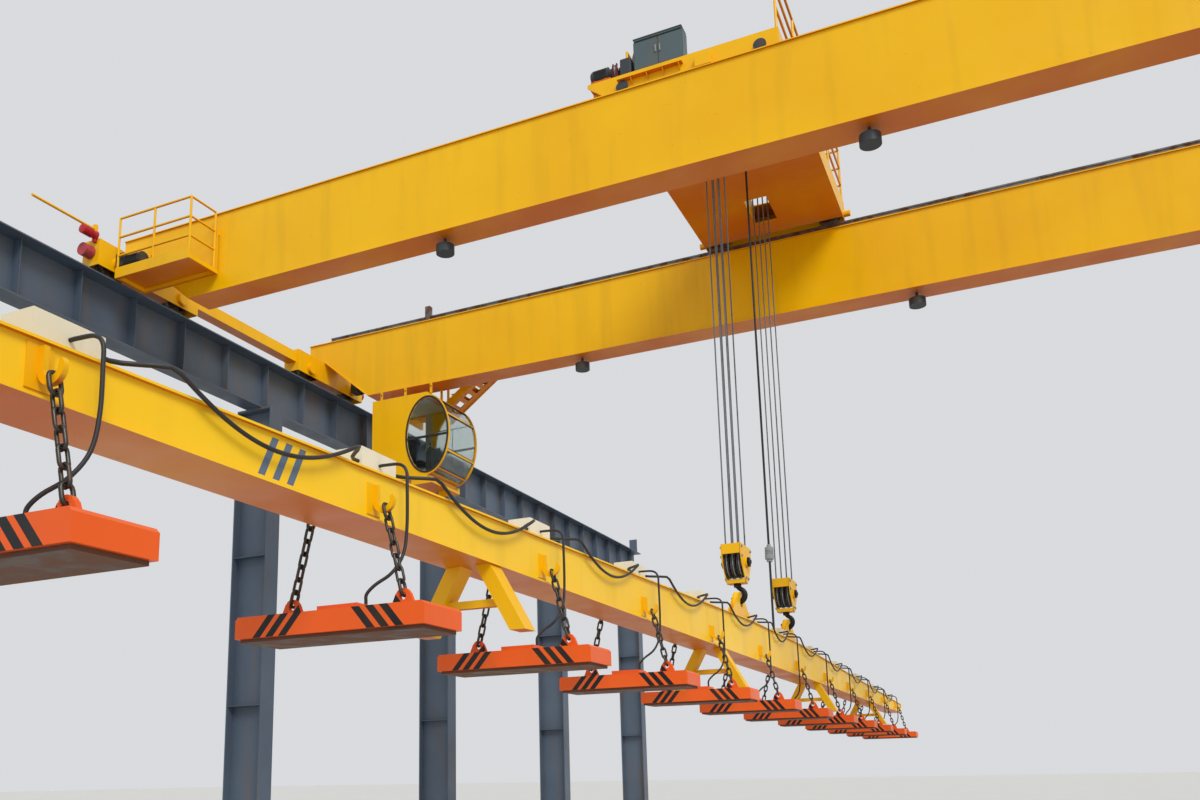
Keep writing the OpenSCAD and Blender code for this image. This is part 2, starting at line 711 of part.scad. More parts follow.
drum_r = 300;
drum_x = -700;
drum_z = crab_deck + 480;
drum_half = 750;
gear_width = 260;
gear_y = hook_y - drum_half - 20 - gear_width / 2;
motor_x = 790;
module hoist_drums() {
    color(bare_steel) at_crab() for (s = [-1, 1]) translate([drum_x, s * hook_y, drum_z]) rotate([90, 0, 0]) {
        difference() {
            cylinder(h = 2 * drum_half, r = drum_r, center = true, $fn = 96);
            cylinder(h = 2 * drum_half - 60, r = drum_r - 25, center = true, $fn = 96);
        }
        for (e = [-1, 1]) translate([0, 0, e * (drum_half - 15)]) cylinder(h = 30, r = drum_r + 50, center = true, $fn = 96);
        translate([0, 0, -s * (drum_half - 20)]) rotate([s > 0 ? 180 : 0, 0, 0]) cylinder(h = 100, r = 60, $fn = 48);
    }
}

// Drum bearings, gear boxes, motors and brakes of the two hoists
module hoist_drives() {
    color(dark_steel) at_crab() for (s = [-1, 1]) {
        outer = s * (hook_y + drum_half + 60);
        translate([drum_x, 0, 0]) difference() {
            along_y(outer - 40, 80) polygon([[-240, crab_deck], [240, crab_deck], [240, crab_deck + 60], [110, drum_z + 40],
                                             [70, drum_z + 110], [-70, drum_z + 110], [-110, drum_z + 40], [-240, crab_deck + 60]]);
            translate([0, outer, drum_z]) rotate([90, 0, 0]) cylinder(h = 100, r = 60.3, center = true, $fn = 48);
        }
        along_y(s * gear_y - gear_width / 2, gear_width) polygon([
            [drum_x - 380, crab_deck], [motor_x + 230, crab_deck], [motor_x + 230, crab_deck + 420], [motor_x - 60, crab_deck + 520],
            [drum_x + 300, drum_z + 330], [drum_x - 300, drum_z + 330], [drum_x - 380, drum_z + 200]]);
        translate([motor_x, s * (gear_y + gear_width / 2 - 1), crab_deck + 250]) rotate([-s * 90, 0, 0]) {
            cylinder(h = 61, r = 70, $fn = 48);
            translate([0, 0, 60]) cylinder(h = 120, r = 190, $fn = 48);
            translate([0, 0, 179]) cylinder(h = 60, r = 60, $fn = 48);
            translate([0, 0, 238]) cylinder(h = 640, r = 190, $fn = 48);
        }
        block([motor_x - 170, min(s * 1120, s * 1640), crab_deck], [motor_x + 170, max(s * 1120, s * 1640), crab_deck + 90]);
    }
}

// Grooved sheaves side by side, turned about the axis
module sheave_nest() {
    for (i = [0 : sheaves - 1]) translate([0, 0, (i - (sheaves - 1) / 2) * sheave_pitch])
        rotate_extrude($fn = 96) polygon([[0, -35], [80, -35], [80, -12], [sheave_r - 50, -12],
            [sheave_r - 44, -32], [sheave_r + 25, -32], [groove_r, -7], [groove_r, 7],
            [sheave_r + 25, 32], [sheave_r - 44, 32], [sheave_r - 50, 12], [80, 12], [80, 35], [0, 35]]);
}

module upper_sheaves() {
    reach = rope_slot_width / 2 + 30;
    color(bare_steel) at_crab() for (s = [-1, 1]) translate([0, s * hook_y, 0]) {
        for (e = [-1, 1]) along_x(e * reach - 10, 20) polygon([[-330, crab_deck], [330, crab_deck],
            [120, upper_z + 90], [-120, upper_z + 90]]);
        translate([0, 0, upper_z]) rotate([0, 90, 0]) {
            cylinder(h = 2 * reach + 60, r = 45, center = true, $fn = 48);
            sheave_nest();
        }
    }
}

module crab_cabinet() {
    color("#5b6468") at_crab()
        block([-900, -crab_side + 10, crab_deck + 0.3], [-100, -crab_side + 260, crab_deck + 560]);
}

module crab_travel_drive() {
    color(dark_steel) at_crab() translate([-crab_half, -crab_side + 140, crab_deck]) {
        block([220, -110, 0.3], [400, 110, 300]);
        translate([-300, 0, 170]) rotate([0, 90, 0]) cylinder(h = 521, r = 120, $fn = 48);
        block([-280, -100, 0.3], [60, 100, 60]);
    }
}

// Ropes and the power cable, from the crab to the load

module hoist_ropes() {
    color(cable_black) at_crab() for (s = [-1, 1], i = [0 : sheaves - 1], e = [-1, 1])
        translate([(i - (sheaves - 1) / 2) * sheave_pitch, s * hook_y + e * sheave_r, sheave_z])
            cylinder(h = upper_z - sheave_z, d = rope_d, $fn = 12);
}

cable_x = 130;
gland_h = 70;
module power_cable() {
    color(cable_black) at_crab() translate([cable_x, 0, beam_top + gland_h + 0.3])
        cylinder(h = crab_under - 0.3 - (beam_top + gland_h + 0.3), d = 36, $fn = 12);
}

// Hook blocks

module hook_blocks() {
    w = block_width / 2;
    reach = sheave_r + 70;
    color(crane_yellow) at_crab() for (s = [-1, 1]) translate([0, s * hook_y, 0]) difference() {
        union() {
            for (e = [-1, 1]) translate([e * (w - block_plate / 2), 0, 0]) along_x(-block_plate / 2, block_plate)
                polygon([[-150, block_under], [150, block_under], [reach, sheave_z - 60], [reach, block_top],
                         [-reach, block_top], [-reach, sheave_z - 60]]);
            for (e = [-1, 1]) block([-w, e * (reach - 6) - 6, block_top - 140], [w, e * (reach - 6) + 6, block_top]);
            block([-w, -110, block_under], [w, 110, block_under + 55]);
        }
        translate([0, 0, sheave_z]) rotate([0, 90, 0])
            cylinder(h = block_width + 4, r = 45 + running_fit, center = true, $fn = 48);
    }
}

module block_sheaves() {
    color(dark_steel) at_crab() for (s = [-1, 1]) translate([0, s * hook_y, sheave_z]) rotate([0, 90, 0]) {
        cylinder(h = block_width + 40, r = 45, center = true, $fn = 48);
        sheave_nest();
    }
}

// Forged hook in the plane across the bridge: shank, throat and point
hook_z = block_under - 170;
hook_bend = 100;
hook_bar = 42;
module lifting_hooks() {
    color(dark_steel) at_crab() for (s = [-1, 1]) translate([0, s * hook_y, hook_z]) {
        translate([0, 0, hook_bend]) cylinder(h = block_under - hook_z - hook_bend - 0.3, r = hook_bar - 6, $fn = 48);
        translate([0, 0, hook_bend]) sphere(r = hook_bar + 8, $fn = 48);
        rotate([0, 60, 0]) translate([-hook_bend, 0, 0]) sphere(r = hook_bar + 3, $fn = 48);
        rotate([90, 0, 0]) rotate([0, 0, 210]) rotate_extrude(angle = 240, $fn = 96)
            translate([hook_bend, 0]) circle(r = hook_bar, $fn = 32);
    }
}

// Magnet beam

function beam_depth_at(y) = beam_depth - (beam_depth - beam_end_depth) *
    max(0, (abs(y) - beam_level / 2) / (beam_length / 2 - beam_level / 2));

function beam_z(y) = beam_under + beam_depth_at(y);
box_h = 190;
box_w = 400;
box_ys = [for (y = magnet_ys) y - sign(y) * 250];

beam_profile = [[-beam_length / 2, beam_under], [beam_length / 2, beam_under],
    [beam_length / 2, beam_under + beam_end_depth], [beam_level / 2, beam_top],
    [-beam_level / 2, beam_top], [-beam_length / 2, beam_under + beam_end_depth]];

// The lifting lug hangs in the bowl of the hook by the top of its hole
lift_plate = 60;
lift_hole_r = 62;
lift_hole_z = hook_z - sqrt(pow(hook_bend - hook_bar, 2) - pow(lift_plate / 2, 2)) + 0.5 - lift_hole_r;

module load_beam() {
    t = beam_plate;
    color(crane_yellow) at_crab() {
        for (e = [-1, 1]) along_x(e * (beam_width / 2 - t / 2) - t / 2, t) polygon(beam_profile);
        block([-beam_width / 2 - beam_lip, -beam_length / 2, beam_under],
              [beam_width / 2 + beam_lip, beam_length / 2, beam_under + t]);
        along_x(-beam_width / 2 - beam_lip, beam_width + 2 * beam_lip) polygon([
            [-beam_length / 2, beam_under + beam_end_depth - t], [-beam_level / 2, beam_top - t],
            [beam_level / 2, beam_top - t], [beam_length / 2, beam_under + beam_end_depth - t],
            [beam_length / 2, beam_under + beam_end_depth], [beam_level / 2, beam_top],
            [-beam_level / 2, beam_top], [-beam_length / 2, beam_under + beam_end_depth]]);
        for (e = [-1, 1]) translate([0, e * (beam_length / 2 - t / 2), beam_under + beam_end_depth / 2])
            cube([beam_width, t, beam_end_depth], center = true);
        translate([cable_x, 0, beam_top - 1]) cylinder(h = gland_h + 1, r = 40, $fn = 48);
        // Lifting lugs under the two hooks
        for (s = [-1, 1]) translate([0, s * hook_y, 0]) difference() {
            along_x(-lift_plate / 2, lift_plate) polygon([[-360, beam_top - 60], [360, beam_top - 60], [130, hook_z - 20],
                                                         [80, hook_z + 40], [-80, hook_z + 40], [-130, hook_z - 20]]);
            translate([0, 0, lift_hole_z]) rotate([0, 90, 0]) cylinder(h = lift_plate + 10, r = lift_hole_r, center = true, $fn = 48);
        }
    }
}

leg_ys = [-9600, -3200, 3200, 9600];
leg_drop = 520;
leg_spread = 420;
module beam_legs() {
    color(crane_yellow) at_crab() for (y = leg_ys) translate([0, y, 0]) {
        for (e = [-1, 1]) along_y(-90, 180) polygon([
            [e * 60, beam_under - 0.3], [e * 190, beam_under - 0.3],
            [e * (leg_spread + 60), beam_under - leg_drop], [e * (leg_spread - 70), beam_under - leg_drop]]);
        block([-300, -30, beam_under - 0.62 * leg_drop], [300, 30, beam_under - 0.62 * leg_drop + 60]);
    }
}

// Yellow hook plates on both faces of the beam, one pair for each magnet
module chain_hooks() {
    face = beam_width / 2 + 0.3;
    foot = beam_under + beam_plate + 0.3;
    color(crane_yellow) at_crab() for (y = magnet_ys, e = [-1, 1]) translate([0, y, 0])
        along_y(-hook_plate / 2, hook_plate) polygon([
            [e * face, foot], [e * (hook_out - 70), foot], [e * (hook_out - 50), foot + 28], [e * (hook_out + 30), foot + 28],
            [e * (hook_out + 75), hook_seat_z],
            [e * (hook_out + 60), hook_seat_z + 120], [e * (hook_out + 30), hook_seat_z + 60],
            [e * (hook_out + 25), hook_seat_z], [e * (hook_out - 25), hook_seat_z],
            [e * (hook_out - 30), hook_seat_z + 80], [e * face, hook_seat_z + 110]]);
}

// Chains: each runs from a hook plate down and outwards to a magnet's lug, its links turned in turn
links = 7;
module stadium(r, c) {
    for (e = [-1, 1]) translate([0, e * c]) circle(r = r, $fn = 48);
    translate([-r, -c]) square([2 * r, 2 * c]);
}

module chain_link(inner) {
    c = (inner - chain_gap) / 2;
    along_y(-chain_bar / 2, chain_bar) difference() {
        stadium(chain_gap / 2 + chain_bar, c);
        stadium(chain_gap / 2, c);
    }
}

// A plate inside the round end of a link stops this far short of the link's inner end
function seat_drop(width) = chain_gap / 2 - sqrt(pow(chain_gap / 2, 2) - pow(width / 2, 2)) + 0.4;

module magnet_chains() {
    slack = seat_drop(chain_bar);
    color(dark_steel) at_crab() for (y = magnet_ys, e = [-1, 1]) {
        top = [e * hook_out, hook_seat_z + seat_drop(hook_plate) + 4];
        low = [e * lug_offset, lug_z + lug_hole_r - seat_drop(lug_plate) - 4];
        pitch = (norm(top - low) - slack) / links;
        inner = pitch + slack;
        lean = atan2(low.x - top.x, top.y - low.y);
        translate([top.x, y, top.y]) rotate([0, -lean, 0]) for (i = [0 : links - 1])
            translate([0, 0, -inner / 2 - i * pitch]) rotate([0, 0, i % 2 == 0 ? 90 : 0]) chain_link(inner);
    }
}

module magnets() {
    l = magnet_length / 2;
    w = magnet_width / 2;
    color(magnet_orange) at_crab() for (y = magnet_ys) translate([0, y, 0]) {
        along_y(-w, magnet_width) polygon([[-l, magnet_under + sole_h], [l, magnet_under + sole_h], [l, magnet_top - 20],
            [l - 20, magnet_top], [-l + 20, magnet_top], [-l, magnet_top - 20]]);
        for (e = [-1, 1]) difference() {
            along_y(-lug_plate / 2, lug_plate) union() {
                translate([e * lug_offset, lug_z]) circle(r = lug_hole_r + 26, $fn = 48);
                polygon([[e * lug_offset - 90, magnet_top - 1], [e * lug_offset + 90, magnet_top - 1],
                         [e * lug_offset + 50, lug_z + 20], [e * lug_offset - 50, lug_z + 20]]);
            }
            translate([e * lug_offset, 0, lug_z]) rotate([90, 0, 0])
                cylinder(h = lug_plate + 10, r = lug_hole_r, center = true, $fn = 48);
        }
        block([-150, -110, magnet_top - 1], [150, 110, magnet_top + 45]);
    }
}

module magnet_soles() {
    l = magnet_length / 2 - 25;
    w = magnet_width / 2 - 25;
    color("#4a2a20") at_crab() for (y = magnet_ys) translate([0, y, 0])
        block([-l, -w, magnet_under], [l, w, magnet_under + sole_h]);
}

module junction_boxes() {
    color(cream) at_crab() for (y = box_ys) along_x(-150, 210) polygon([
        [y - box_w / 2, beam_z(y - box_w / 2) + 0.3], [y + box_w / 2, beam_z(y + box_w / 2) + 0.3],
        [y + box_w / 2, beam_z(abs(y) - box_w / 2) + box_h], [y - box_w / 2, beam_z(abs(y) - box_w / 2) + box_h]]);
}

// Sweeps a round cable along its points. The given direction never runs along the cable.
function unit(v) = v / norm(v);
module cable(points, d, side, sides = 8) {
    n = len(points);
    ring = [for (i = [0 : n - 1])
        let (t = unit(points[min(i + 1, n - 1)] - points[max(i - 1, 0)]), u = unit(cross(side, t)), w = cross(t, u))
        for (k = [0 : sides - 1]) points[i] + d / 2 * (cos(360 * k / sides) * u + sin(360 * k / sides) * w)];
    walls = [for (i = [0 : n - 2], k = [0 : sides - 1])
        let (a = i * sides + k, b = i * sides + (k + 1) % sides) [a, a + sides, b + sides, b]];
    polyhedron(ring, concat([[for (k = [0 : sides - 1]) k]], walls,
        [[for (k = [sides - 1 : -1 : 0]) (n - 1) * sides + k]]));
}

trunk_d = 36;
trunk_sag = 230;
trunk_x = beam_width / 2 + beam_lip + trunk_d / 2 + 6;
module trunk_cable() {
    color(cable_black) at_crab() for (i = [0 : magnets_n - 2]) {
        y0 = box_ys[i] + box_w / 2 + 0.3;
        y1 = box_ys[i + 1] - box_w / 2 - 0.3;
        cable([for (f = [0, 0.02, 0.06, 0.1, 0.15, 0.25, 0.37, 0.5, 0.63, 0.75, 0.85, 0.9, 0.94, 0.98, 1])
            let (y = y0 + (y1 - y0) * f, out = max(0, min(1, 8 * (min(f, 1 - f) - 0.02))),
                 hang = max(0, (4 * f * (1 - f) - 0.45) / 0.55))
            [30 + (trunk_x - 30) * out, y, beam_z(y) + 100 - trunk_sag * hang]], trunk_d, [0, 0, 1]);
    }
}

drop_d = 30;
module magnet_cables() {
    x = trunk_x + trunk_d / 2 + drop_d / 2 + 12;
    color(cable_black) at_crab() for (i = [0 : magnets_n - 1]) {
        y = box_ys[i];
        top = beam_z(abs(y) + 100);
        m = magnet_ys[i] - sign(y) * 60;
        cable([[60.3, y, top + 110], [110, y, top + 110], [x - 60, y, top + 100], [x - 8, y, top + 50],
               [x, y, top - 60], [x, y, beam_under], [x - 8, y + (m - y) * 0.15, lug_z + 320], [x - 50, y + (m - y) * 0.5, lug_z + 190],
               [150, y + (m - y) * 0.85, lug_z + 110], [105, m, lug_z + 50], [100, m, lug_z], [100, m, magnet_top + 45.3]], drop_d, [0, 1, 0]);
    }
}

column_row(-1);  // columns_left
column_row(1);  // columns_right
runway_girder(-1);  // runway_girder_left
runway_girder(1);  // runway_girder_right
runway_rail(-1);  // runway_rail_left
runway_rail(1);  // runway_rail_right
girder(-1);  // girder_front
girder(1);  // girder_rear
crab_rails();
end_carriage(-1);  // end_carriage_left
end_carriage(1);  // end_carriage_right
service_platforms();
platform_railings();
rear_walkway();
rear_railing();
travel_drives();
buffers();
siren();
cab_body();
cab_glass();
cab_seat();
cab_stair();
lamps();
bridge_wheels(0);  // bridge_wheels_1
bridge_wheels(1);  // bridge_wheels_2
bridge_wheels(2);  // bridge_wheels_3
bridge_wheels(3);  // bridge_wheels_4
crab_frame();
crab_railing();
hoist_drums();
hoist_drives();
upper_sheaves();
crab_cabinet();
crab_travel_drive();
crab_wheels(-1);  // crab_wheels_left
crab_wheels(1);  // crab_wheels_right
hoist_ropes();
power_cable();
hook_blocks();
block_sheaves();
lifting_hooks();
load_beam();
beam_legs();
chain_hooks();
magnet_chains();
magnets();
magnet_soles();
junction_boxes();
trunk_cable();
magnet_cables();
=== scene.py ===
# %% [markdown]
# # An overhead travelling crane with a beam of lifting magnets
#
# The crane spans a hall on two rails, and a 30 m beam hangs from its two hooks and carries twelve magnets on chains.
# The solids come from the CAD model, in metres, in one shared frame: X across the hall, Y along the runway, Z up. This
# lesson gives them their finishes, and makes the pieces that a plain solid can't show, such as the lay of a wire rope.

import math
from functools import partial

import bmesh
import bpy
import numpy as np
from mathutils import Matrix, Vector


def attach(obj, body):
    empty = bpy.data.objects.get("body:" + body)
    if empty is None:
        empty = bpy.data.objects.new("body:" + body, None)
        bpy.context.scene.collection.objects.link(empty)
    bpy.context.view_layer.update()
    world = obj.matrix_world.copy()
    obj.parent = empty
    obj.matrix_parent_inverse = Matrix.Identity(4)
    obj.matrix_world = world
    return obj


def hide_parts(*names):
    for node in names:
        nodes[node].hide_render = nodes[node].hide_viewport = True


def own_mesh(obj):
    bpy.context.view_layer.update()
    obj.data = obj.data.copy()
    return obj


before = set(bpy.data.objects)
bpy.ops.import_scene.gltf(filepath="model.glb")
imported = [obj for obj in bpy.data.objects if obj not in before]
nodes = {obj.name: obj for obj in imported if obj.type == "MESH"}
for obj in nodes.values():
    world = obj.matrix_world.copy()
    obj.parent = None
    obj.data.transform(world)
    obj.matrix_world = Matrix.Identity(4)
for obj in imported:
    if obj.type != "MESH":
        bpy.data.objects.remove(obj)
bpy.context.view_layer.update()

# %% [markdown]
# ## The camera
#
# The picture is taken from eye height between the two rows of columns, looking along the hall and a little up. A
# camera matrix has the right, up and backward directions as its columns, so those three are written down once. The
# direction of view meets the picture a little left of its middle and below it, so two shifts move the picture over.
# They and the lens are given in pixels of a picture 1200 pixels wide.

# %% Camera
bridge_y = -4.35
crab_x = -3.4
frame_width, frame_height = 1200, 800
focal_pixels = 1063.4
sight_x, sight_y = 538.1, 565.0
eye = Vector((0.5, bridge_y - 16.7, 1.6))
right = Vector((0.9029, 0.4295, -0.0174))
up = Vector((0.0995, -0.1694, 0.9805))
back = Vector((0.4182, -0.8870, -0.1956))
camera_data = bpy.data.cameras.new("eye_height_camera")
camera_data.sensor_width = 36.0
camera_data.lens = camera_data.sensor_width * focal_pixels / frame_width
camera_data.shift_x = (frame_width / 2 - sight_x) / frame_width
camera_data.shift_y = (sight_y - frame_height / 2) / frame_width
camera_data.clip_end = 400
camera = bpy.data.objects.new("eye_height_camera", camera_data)
camera.matrix_world = Matrix.Translation(eye) @ Matrix((right, up, back)).transposed().to_4x4()
bpy.context.scene.collection.objects.link(camera)
bpy.context.scene.camera = camera
print("lens", round(camera_data.lens, 2), "mm, shift", round(camera_data.shift_x, 4), round(camera_data.shift_y, 4))

# %% [markdown]
# ## Helpers for finishes
#
# Colours are written as sRGB hex values, the way a paint card gives them, and one function turns them to linear light.
# A second function adds a shader node, sets its properties, connects its inputs and hands back one of its outputs. A
# finish then reads from top to bottom as a list of steps, and each step can use the ones above it.


# %% Colour and node helpers
def linear(code, alpha=1.0):
    """sRGB to linear: c / 12.92 below 0.04045, and ((c + 0.055) / 1.055) to the power 2.4 above it."""
    parts = [int(code[i : i + 2], 16) / 255 for i in (1, 3, 5)]
    return tuple(c / 12.92 if c <= 0.04045 else ((c + 0.055) / 1.055) ** 2.4 for c in parts) + (alpha,)


def add(tree, kind, inputs=(), output=0, **settings):
    """Adds one node and gives one of its outputs. The inputs are a list, or they map a socket's name or number, and
    each is a value or another node's output."""
    made = tree.nodes.new("ShaderNode" + kind)
    for key, value in settings.items():
        setattr(made, key, value)
    for key, value in inputs.items() if isinstance(inputs, dict) else enumerate(inputs):
        if isinstance(value, bpy.types.NodeSocket):
            tree.links.new(value, made.inputs[key])
        else:
            made.inputs[key].default_value = value
    return made.outputs[output] if len(made.outputs) else None


def new_finish(name):
    """An empty material, and the function that adds nodes to it."""
    finish = bpy.data.materials.new(name)
    finish.use_nodes = True
    finish.node_tree.nodes.clear()
    return finish, partial(add, finish.node_tree)


def coloured(put, colour, layers):
    """Colour layers one over another. Each is a share, 0 where it doesn't show and 1 where it covers, and a colour."""
    for share, over in layers:
        colour = put("Mix", {0: share, 6: colour, 7: over}, 2, data_type="RGBA")
    return colour


# %% [markdown]
# ## Painted steel
#
# Welded plate is sprayed with an alkyd enamel. It dries glossy with a faint orange peel, and the thin plates show soft
# waves between their welds. Dust settles on what faces up, and oil and damp leave long runs on the webs. The
# undersides are painted darker and browner: that is painted shade, warmed by the light that the floor throws up. All
# of that follows from where the surface is and which way it faces, so one recipe serves every painted part. Each
# cloud of noise below is given by its lumps per metre.


# %% Enamel recipe
def enamel(name, paint, dull, dust, roughness=0.34, runs=0.12, marks=None, underside_shade=None):
    """Alkyd enamel on welded plate. marks may give a share and a colour that are painted over the base."""
    finish, put = new_finish(name)
    place = put("TexCoord", output="Object")
    facing = put("SeparateXYZ", [put("NewGeometry", output="Normal")], "Z")
    lumps = {"fading": (0.45, 4), "underside_patches": (0.9, 3), "dust": (1.7, 5), "chips": (23, 2), "sheen": (2.3, 4)}
    cloud = {what: put("TexNoise", {"Vector": place, "Scale": s, "Detail": d}) for what, (s, d) in lumps.items()}
    drawn_out = put("Mapping", {"Vector": place, "Scale": (1, 1, 0.09)})
    streaks = put("MapRange", [put("TexNoise", {"Vector": drawn_out, "Scale": 3.2, "Detail": 5}), 0.52, 0.74])
    upright = put("MapRange", [put("Math", [facing], operation="ABSOLUTE"), 0.25, 0.6, 1, 0])
    run_down = put("Math", [put("Math", [streaks, upright], operation="MULTIPLY"), runs], operation="MULTIPLY")
    # Painted shade: faces that look down take the darker, browner underside colour, at a share from 0.75 to 0.9
    underside_shade_share = put("MapRange", [cloud["underside_patches"], 0.25, 0.6, 0.75, 0.9])
    below = put("Math", [put("MapRange", [facing, -0.5, -0.85]), underside_shade_share], operation="MULTIPLY")
    dusty = put("MapRange", [cloud["dust"], 0.3, 0.62, 0.12, 0.6])
    settled = put("Math", [put("MapRange", [facing, 0.6, 0.95]), dusty], operation="MULTIPLY")
    chipped = put("MapRange", [cloud["chips"], 0.76, 0.79, 0, 0.5])
    faded = put("MapRange", [cloud["fading"], 0.35, 0.68, 0, 0.6])
    layers = [(faded, linear(dull))] + ([marks(put, place)] if marks else [])
    # Without an underside colour, the painted shade on the undersides takes the dull colour
    layers += [(run_down, linear("#7a5a22")), (below, linear(underside_shade or dull))]
    layers += [(settled, linear(dust)), (chipped, linear("#5b4028"))]
    # Settled dust is matt, and the gloss comes and goes with the spray
    sheen = put("MapRange", [cloud["sheen"], 0.3, 0.7, roughness - 0.05, roughness + 0.12])
    matt = put("Math", [settled, 0.35, sheen], operation="MULTIPLY_ADD")
    # Plate waves about 0.7 m long, and an orange peel drawn at 12 mm so that it still shows from a few metres
    normal = None
    for scale, strength, depth in ((1.4, 0.25, 0.02), (85.0, 0.12, 0.001)):
        height = put("TexNoise", {"Vector": place, "Scale": scale, "Detail": 2})
        relief = {"Height": height, "Strength": strength, "Distance": depth}
        normal = put("Bump", {**relief, "Normal": normal} if normal else relief)
    shader = {"Base Color": coloured(put, linear(paint), layers), "Roughness": matt, "Normal": normal}
    put("OutputMaterial", [put("BsdfPrincipled", {**shader, "Specular IOR Level": 0.3})])
    return finish


# %% [markdown]
# ## Marks painted on
#
# The magnet beam has three slanted grey-blue bars near its front end. Each magnet has three black slanted bars towards
# both ends of its long sides, which lean inwards, and its middle and its ends are left plain. A slanted bar is a
# stretch of u = y - slope * z, so a comparison on that number paints it without any picture. A comparison gives 1 or
# 0, and the product of all of them is the share.


# %% Marks
def all_true(put, tests):
    """The product of comparisons, each an operation, a number and the limit that it is held against."""
    share = 1.0
    for operation, value, limit in tests:
        share = put("Math", [put("Math", [value, limit], operation=operation), share], operation="MULTIPLY")
    return share


def beam_bars(put, place):
    """Three bars leaning 0.47 m in each metre of height. along is y less the lean, and 0 where the first bar starts."""
    width, pitch, slope = 0.057, 0.122, 0.47
    foot, head, reach = 3.235, 3.47, 0.36
    start = bridge_y - 12.343 - slope * 3.24
    y, z = [put("SeparateXYZ", [place], axis) for axis in "YZ"]
    along = put("Math", [put("Math", [z, -slope, y], operation="MULTIPLY_ADD"), start], operation="SUBTRACT")
    wrapped = put("Math", [along, pitch], operation="MODULO")
    tests = [("GREATER_THAN", along, 0.0), ("LESS_THAN", along, reach), ("GREATER_THAN", wrapped, 0.0)]
    tests += [("LESS_THAN", wrapped, width), ("GREATER_THAN", z, foot), ("LESS_THAN", z, head)]
    return all_true(put, tests), linear("#5f7184")


def magnet_bars(put, place):
    """Three bars on both ends of a magnet's long sides, mirrored about its middle. slant is the distance from the
    middle plus 0.85 of the height above the magnet's foot, less the 0.3 m that stay plain."""
    width, pitch, slope = 0.06, 0.1, 0.85
    foot, plain, reach = 2.487, 0.3, 0.27
    x, z = [put("SeparateXYZ", [place], axis) for axis in "XZ"]
    out = put("Math", [put("Math", [x, crab_x], operation="SUBTRACT")], operation="ABSOLUTE")
    lifted = put("Math", [z, slope, -(foot * slope + plain)], operation="MULTIPLY_ADD")
    slant = put("Math", [out, lifted], operation="ADD")
    wrapped = put("Math", [slant, pitch], operation="MODULO")
    tests = [("GREATER_THAN", wrapped, 0.0), ("LESS_THAN", wrapped, width)]
    tests += [("GREATER_THAN", slant, 0.0), ("LESS_THAN", slant, reach)]
    sideways = put("SeparateXYZ", [put("NewGeometry", output="Normal")], "Y")
    flat = put("MapRange", [put("Math", [sideways], operation="ABSOLUTE"), 0.8, 0.9])
    return put("Math", [all_true(put, tests), flat], operation="MULTIPLY"), linear("#1b1a1c")


# %% Painted finishes
# The underside colours given here are painted shade, warmed by the light from the floor
yellow = enamel("alkyd_enamel_yellow", "#f6bd00", "#eba800", "#c9a24a", underside_shade="#c2560a")
# The beam's copy of the yellow is lighter all over: painted light for the light that falls on the beam's side
lit_beam_yellow = enamel("alkyd_enamel_yellow_lightened_with_bars", "#ffce1f", "#fac010", "#d3ab4c", marks=beam_bars, underside_shade="#c85f12")
steel_blue = enamel("alkyd_enamel_steel_blue", "#5a6776", "#46515f", "#7d7c78", 0.42, 0.4)
orange_red = enamel("alkyd_enamel_orange_red", "#f3641c", "#e25514", "#b9714a", 0.36, 0.12, magnet_bars)
pedestal_orange = enamel("alkyd_enamel_orange", "#dd6a1a", "#c45813", "#a8755a", 0.4, 0.15)
signal_red = enamel("alkyd_enamel_signal_red", "#bf2430", "#9c1c26", "#8a6a62", 0.32, 0.2)
brake_red = enamel("alkyd_enamel_wine_red", "#6e1f28", "#54181f", "#6b4a48", 0.36, 0.2)
machine_grey = enamel("alkyd_enamel_machine_grey", "#3f4447", "#33373a", "#6d6a62", 0.45, 0.3)
cabinet_grey = enamel("alkyd_enamel_cabinet_grey", "#56666b", "#49575c", "#8a867a", 0.4, 0.2)
plug_grey = enamel("alkyd_enamel_light_grey", "#9fa3a4", "#8a8e90", "#a5a29a", 0.4, 0.2)
lining_grey = enamel("alkyd_enamel_grey_green", "#c3c8ba", "#b2b8a8", "#b5b2a4", 0.5, 0.1)
cream = enamel("alkyd_enamel_cream", "#ece5cf", "#d8cfb5", "#a59b80", 0.42, 0.3)
print("painted finishes", len(bpy.data.materials))

# %% [markdown]
# ## Bare and forged steel
#
# A rail is rolled steel, grey with patches of brown rust. Wheels and drums are turned, so they are brighter and rust
# less. Chain and hooks are forged and blackened, and a rope is full of grease, which stays dark in its hollows. Rust
# isn't a metal to the eye, so where it lies the surface is dull and no longer mirrors.


# %% Bare steel recipe
def bare_steel(name, bright, worn, rust, share_of_rust, roughness, metallic=1.0, hollow=None):
    """Steel whose rust lies in patches about 0.15 m wide. hollow names an attribute that is 1 where grease collects."""
    finish, put = new_finish(name)
    place = put("TexCoord", output="Object")
    lumps = {"rust": (6, 6), "wear": (1.3, 3), "pits": (120, 4)}
    cloud = {what: put("TexNoise", {"Vector": place, "Scale": s, "Detail": d}) for what, (s, d) in lumps.items()}
    shift = share_of_rust * 0.4
    patches = put("MapRange", [cloud["rust"], 0.62 - shift, 0.8 - shift])
    layers = [(cloud["wear"], linear(worn)), (patches, linear(rust))]
    if hollow:
        grease = put("Attribute", output="Fac", attribute_name=hollow)
        layers.append((put("Math", [grease, 0.85], operation="MULTIPLY"), linear("#17171a")))
    shader = {"Base Color": coloured(put, linear(bright), layers)}
    shader["Metallic"] = put("MapRange", [patches, 0, 1, metallic, 0.1])
    shader["Roughness"] = put("MapRange", [patches, 0, 1, roughness, 0.75])
    shader["Normal"] = put("Bump", {"Height": cloud["pits"], "Strength": 0.2, "Distance": 0.001})
    put("OutputMaterial", [put("BsdfPrincipled", shader)])
    return finish


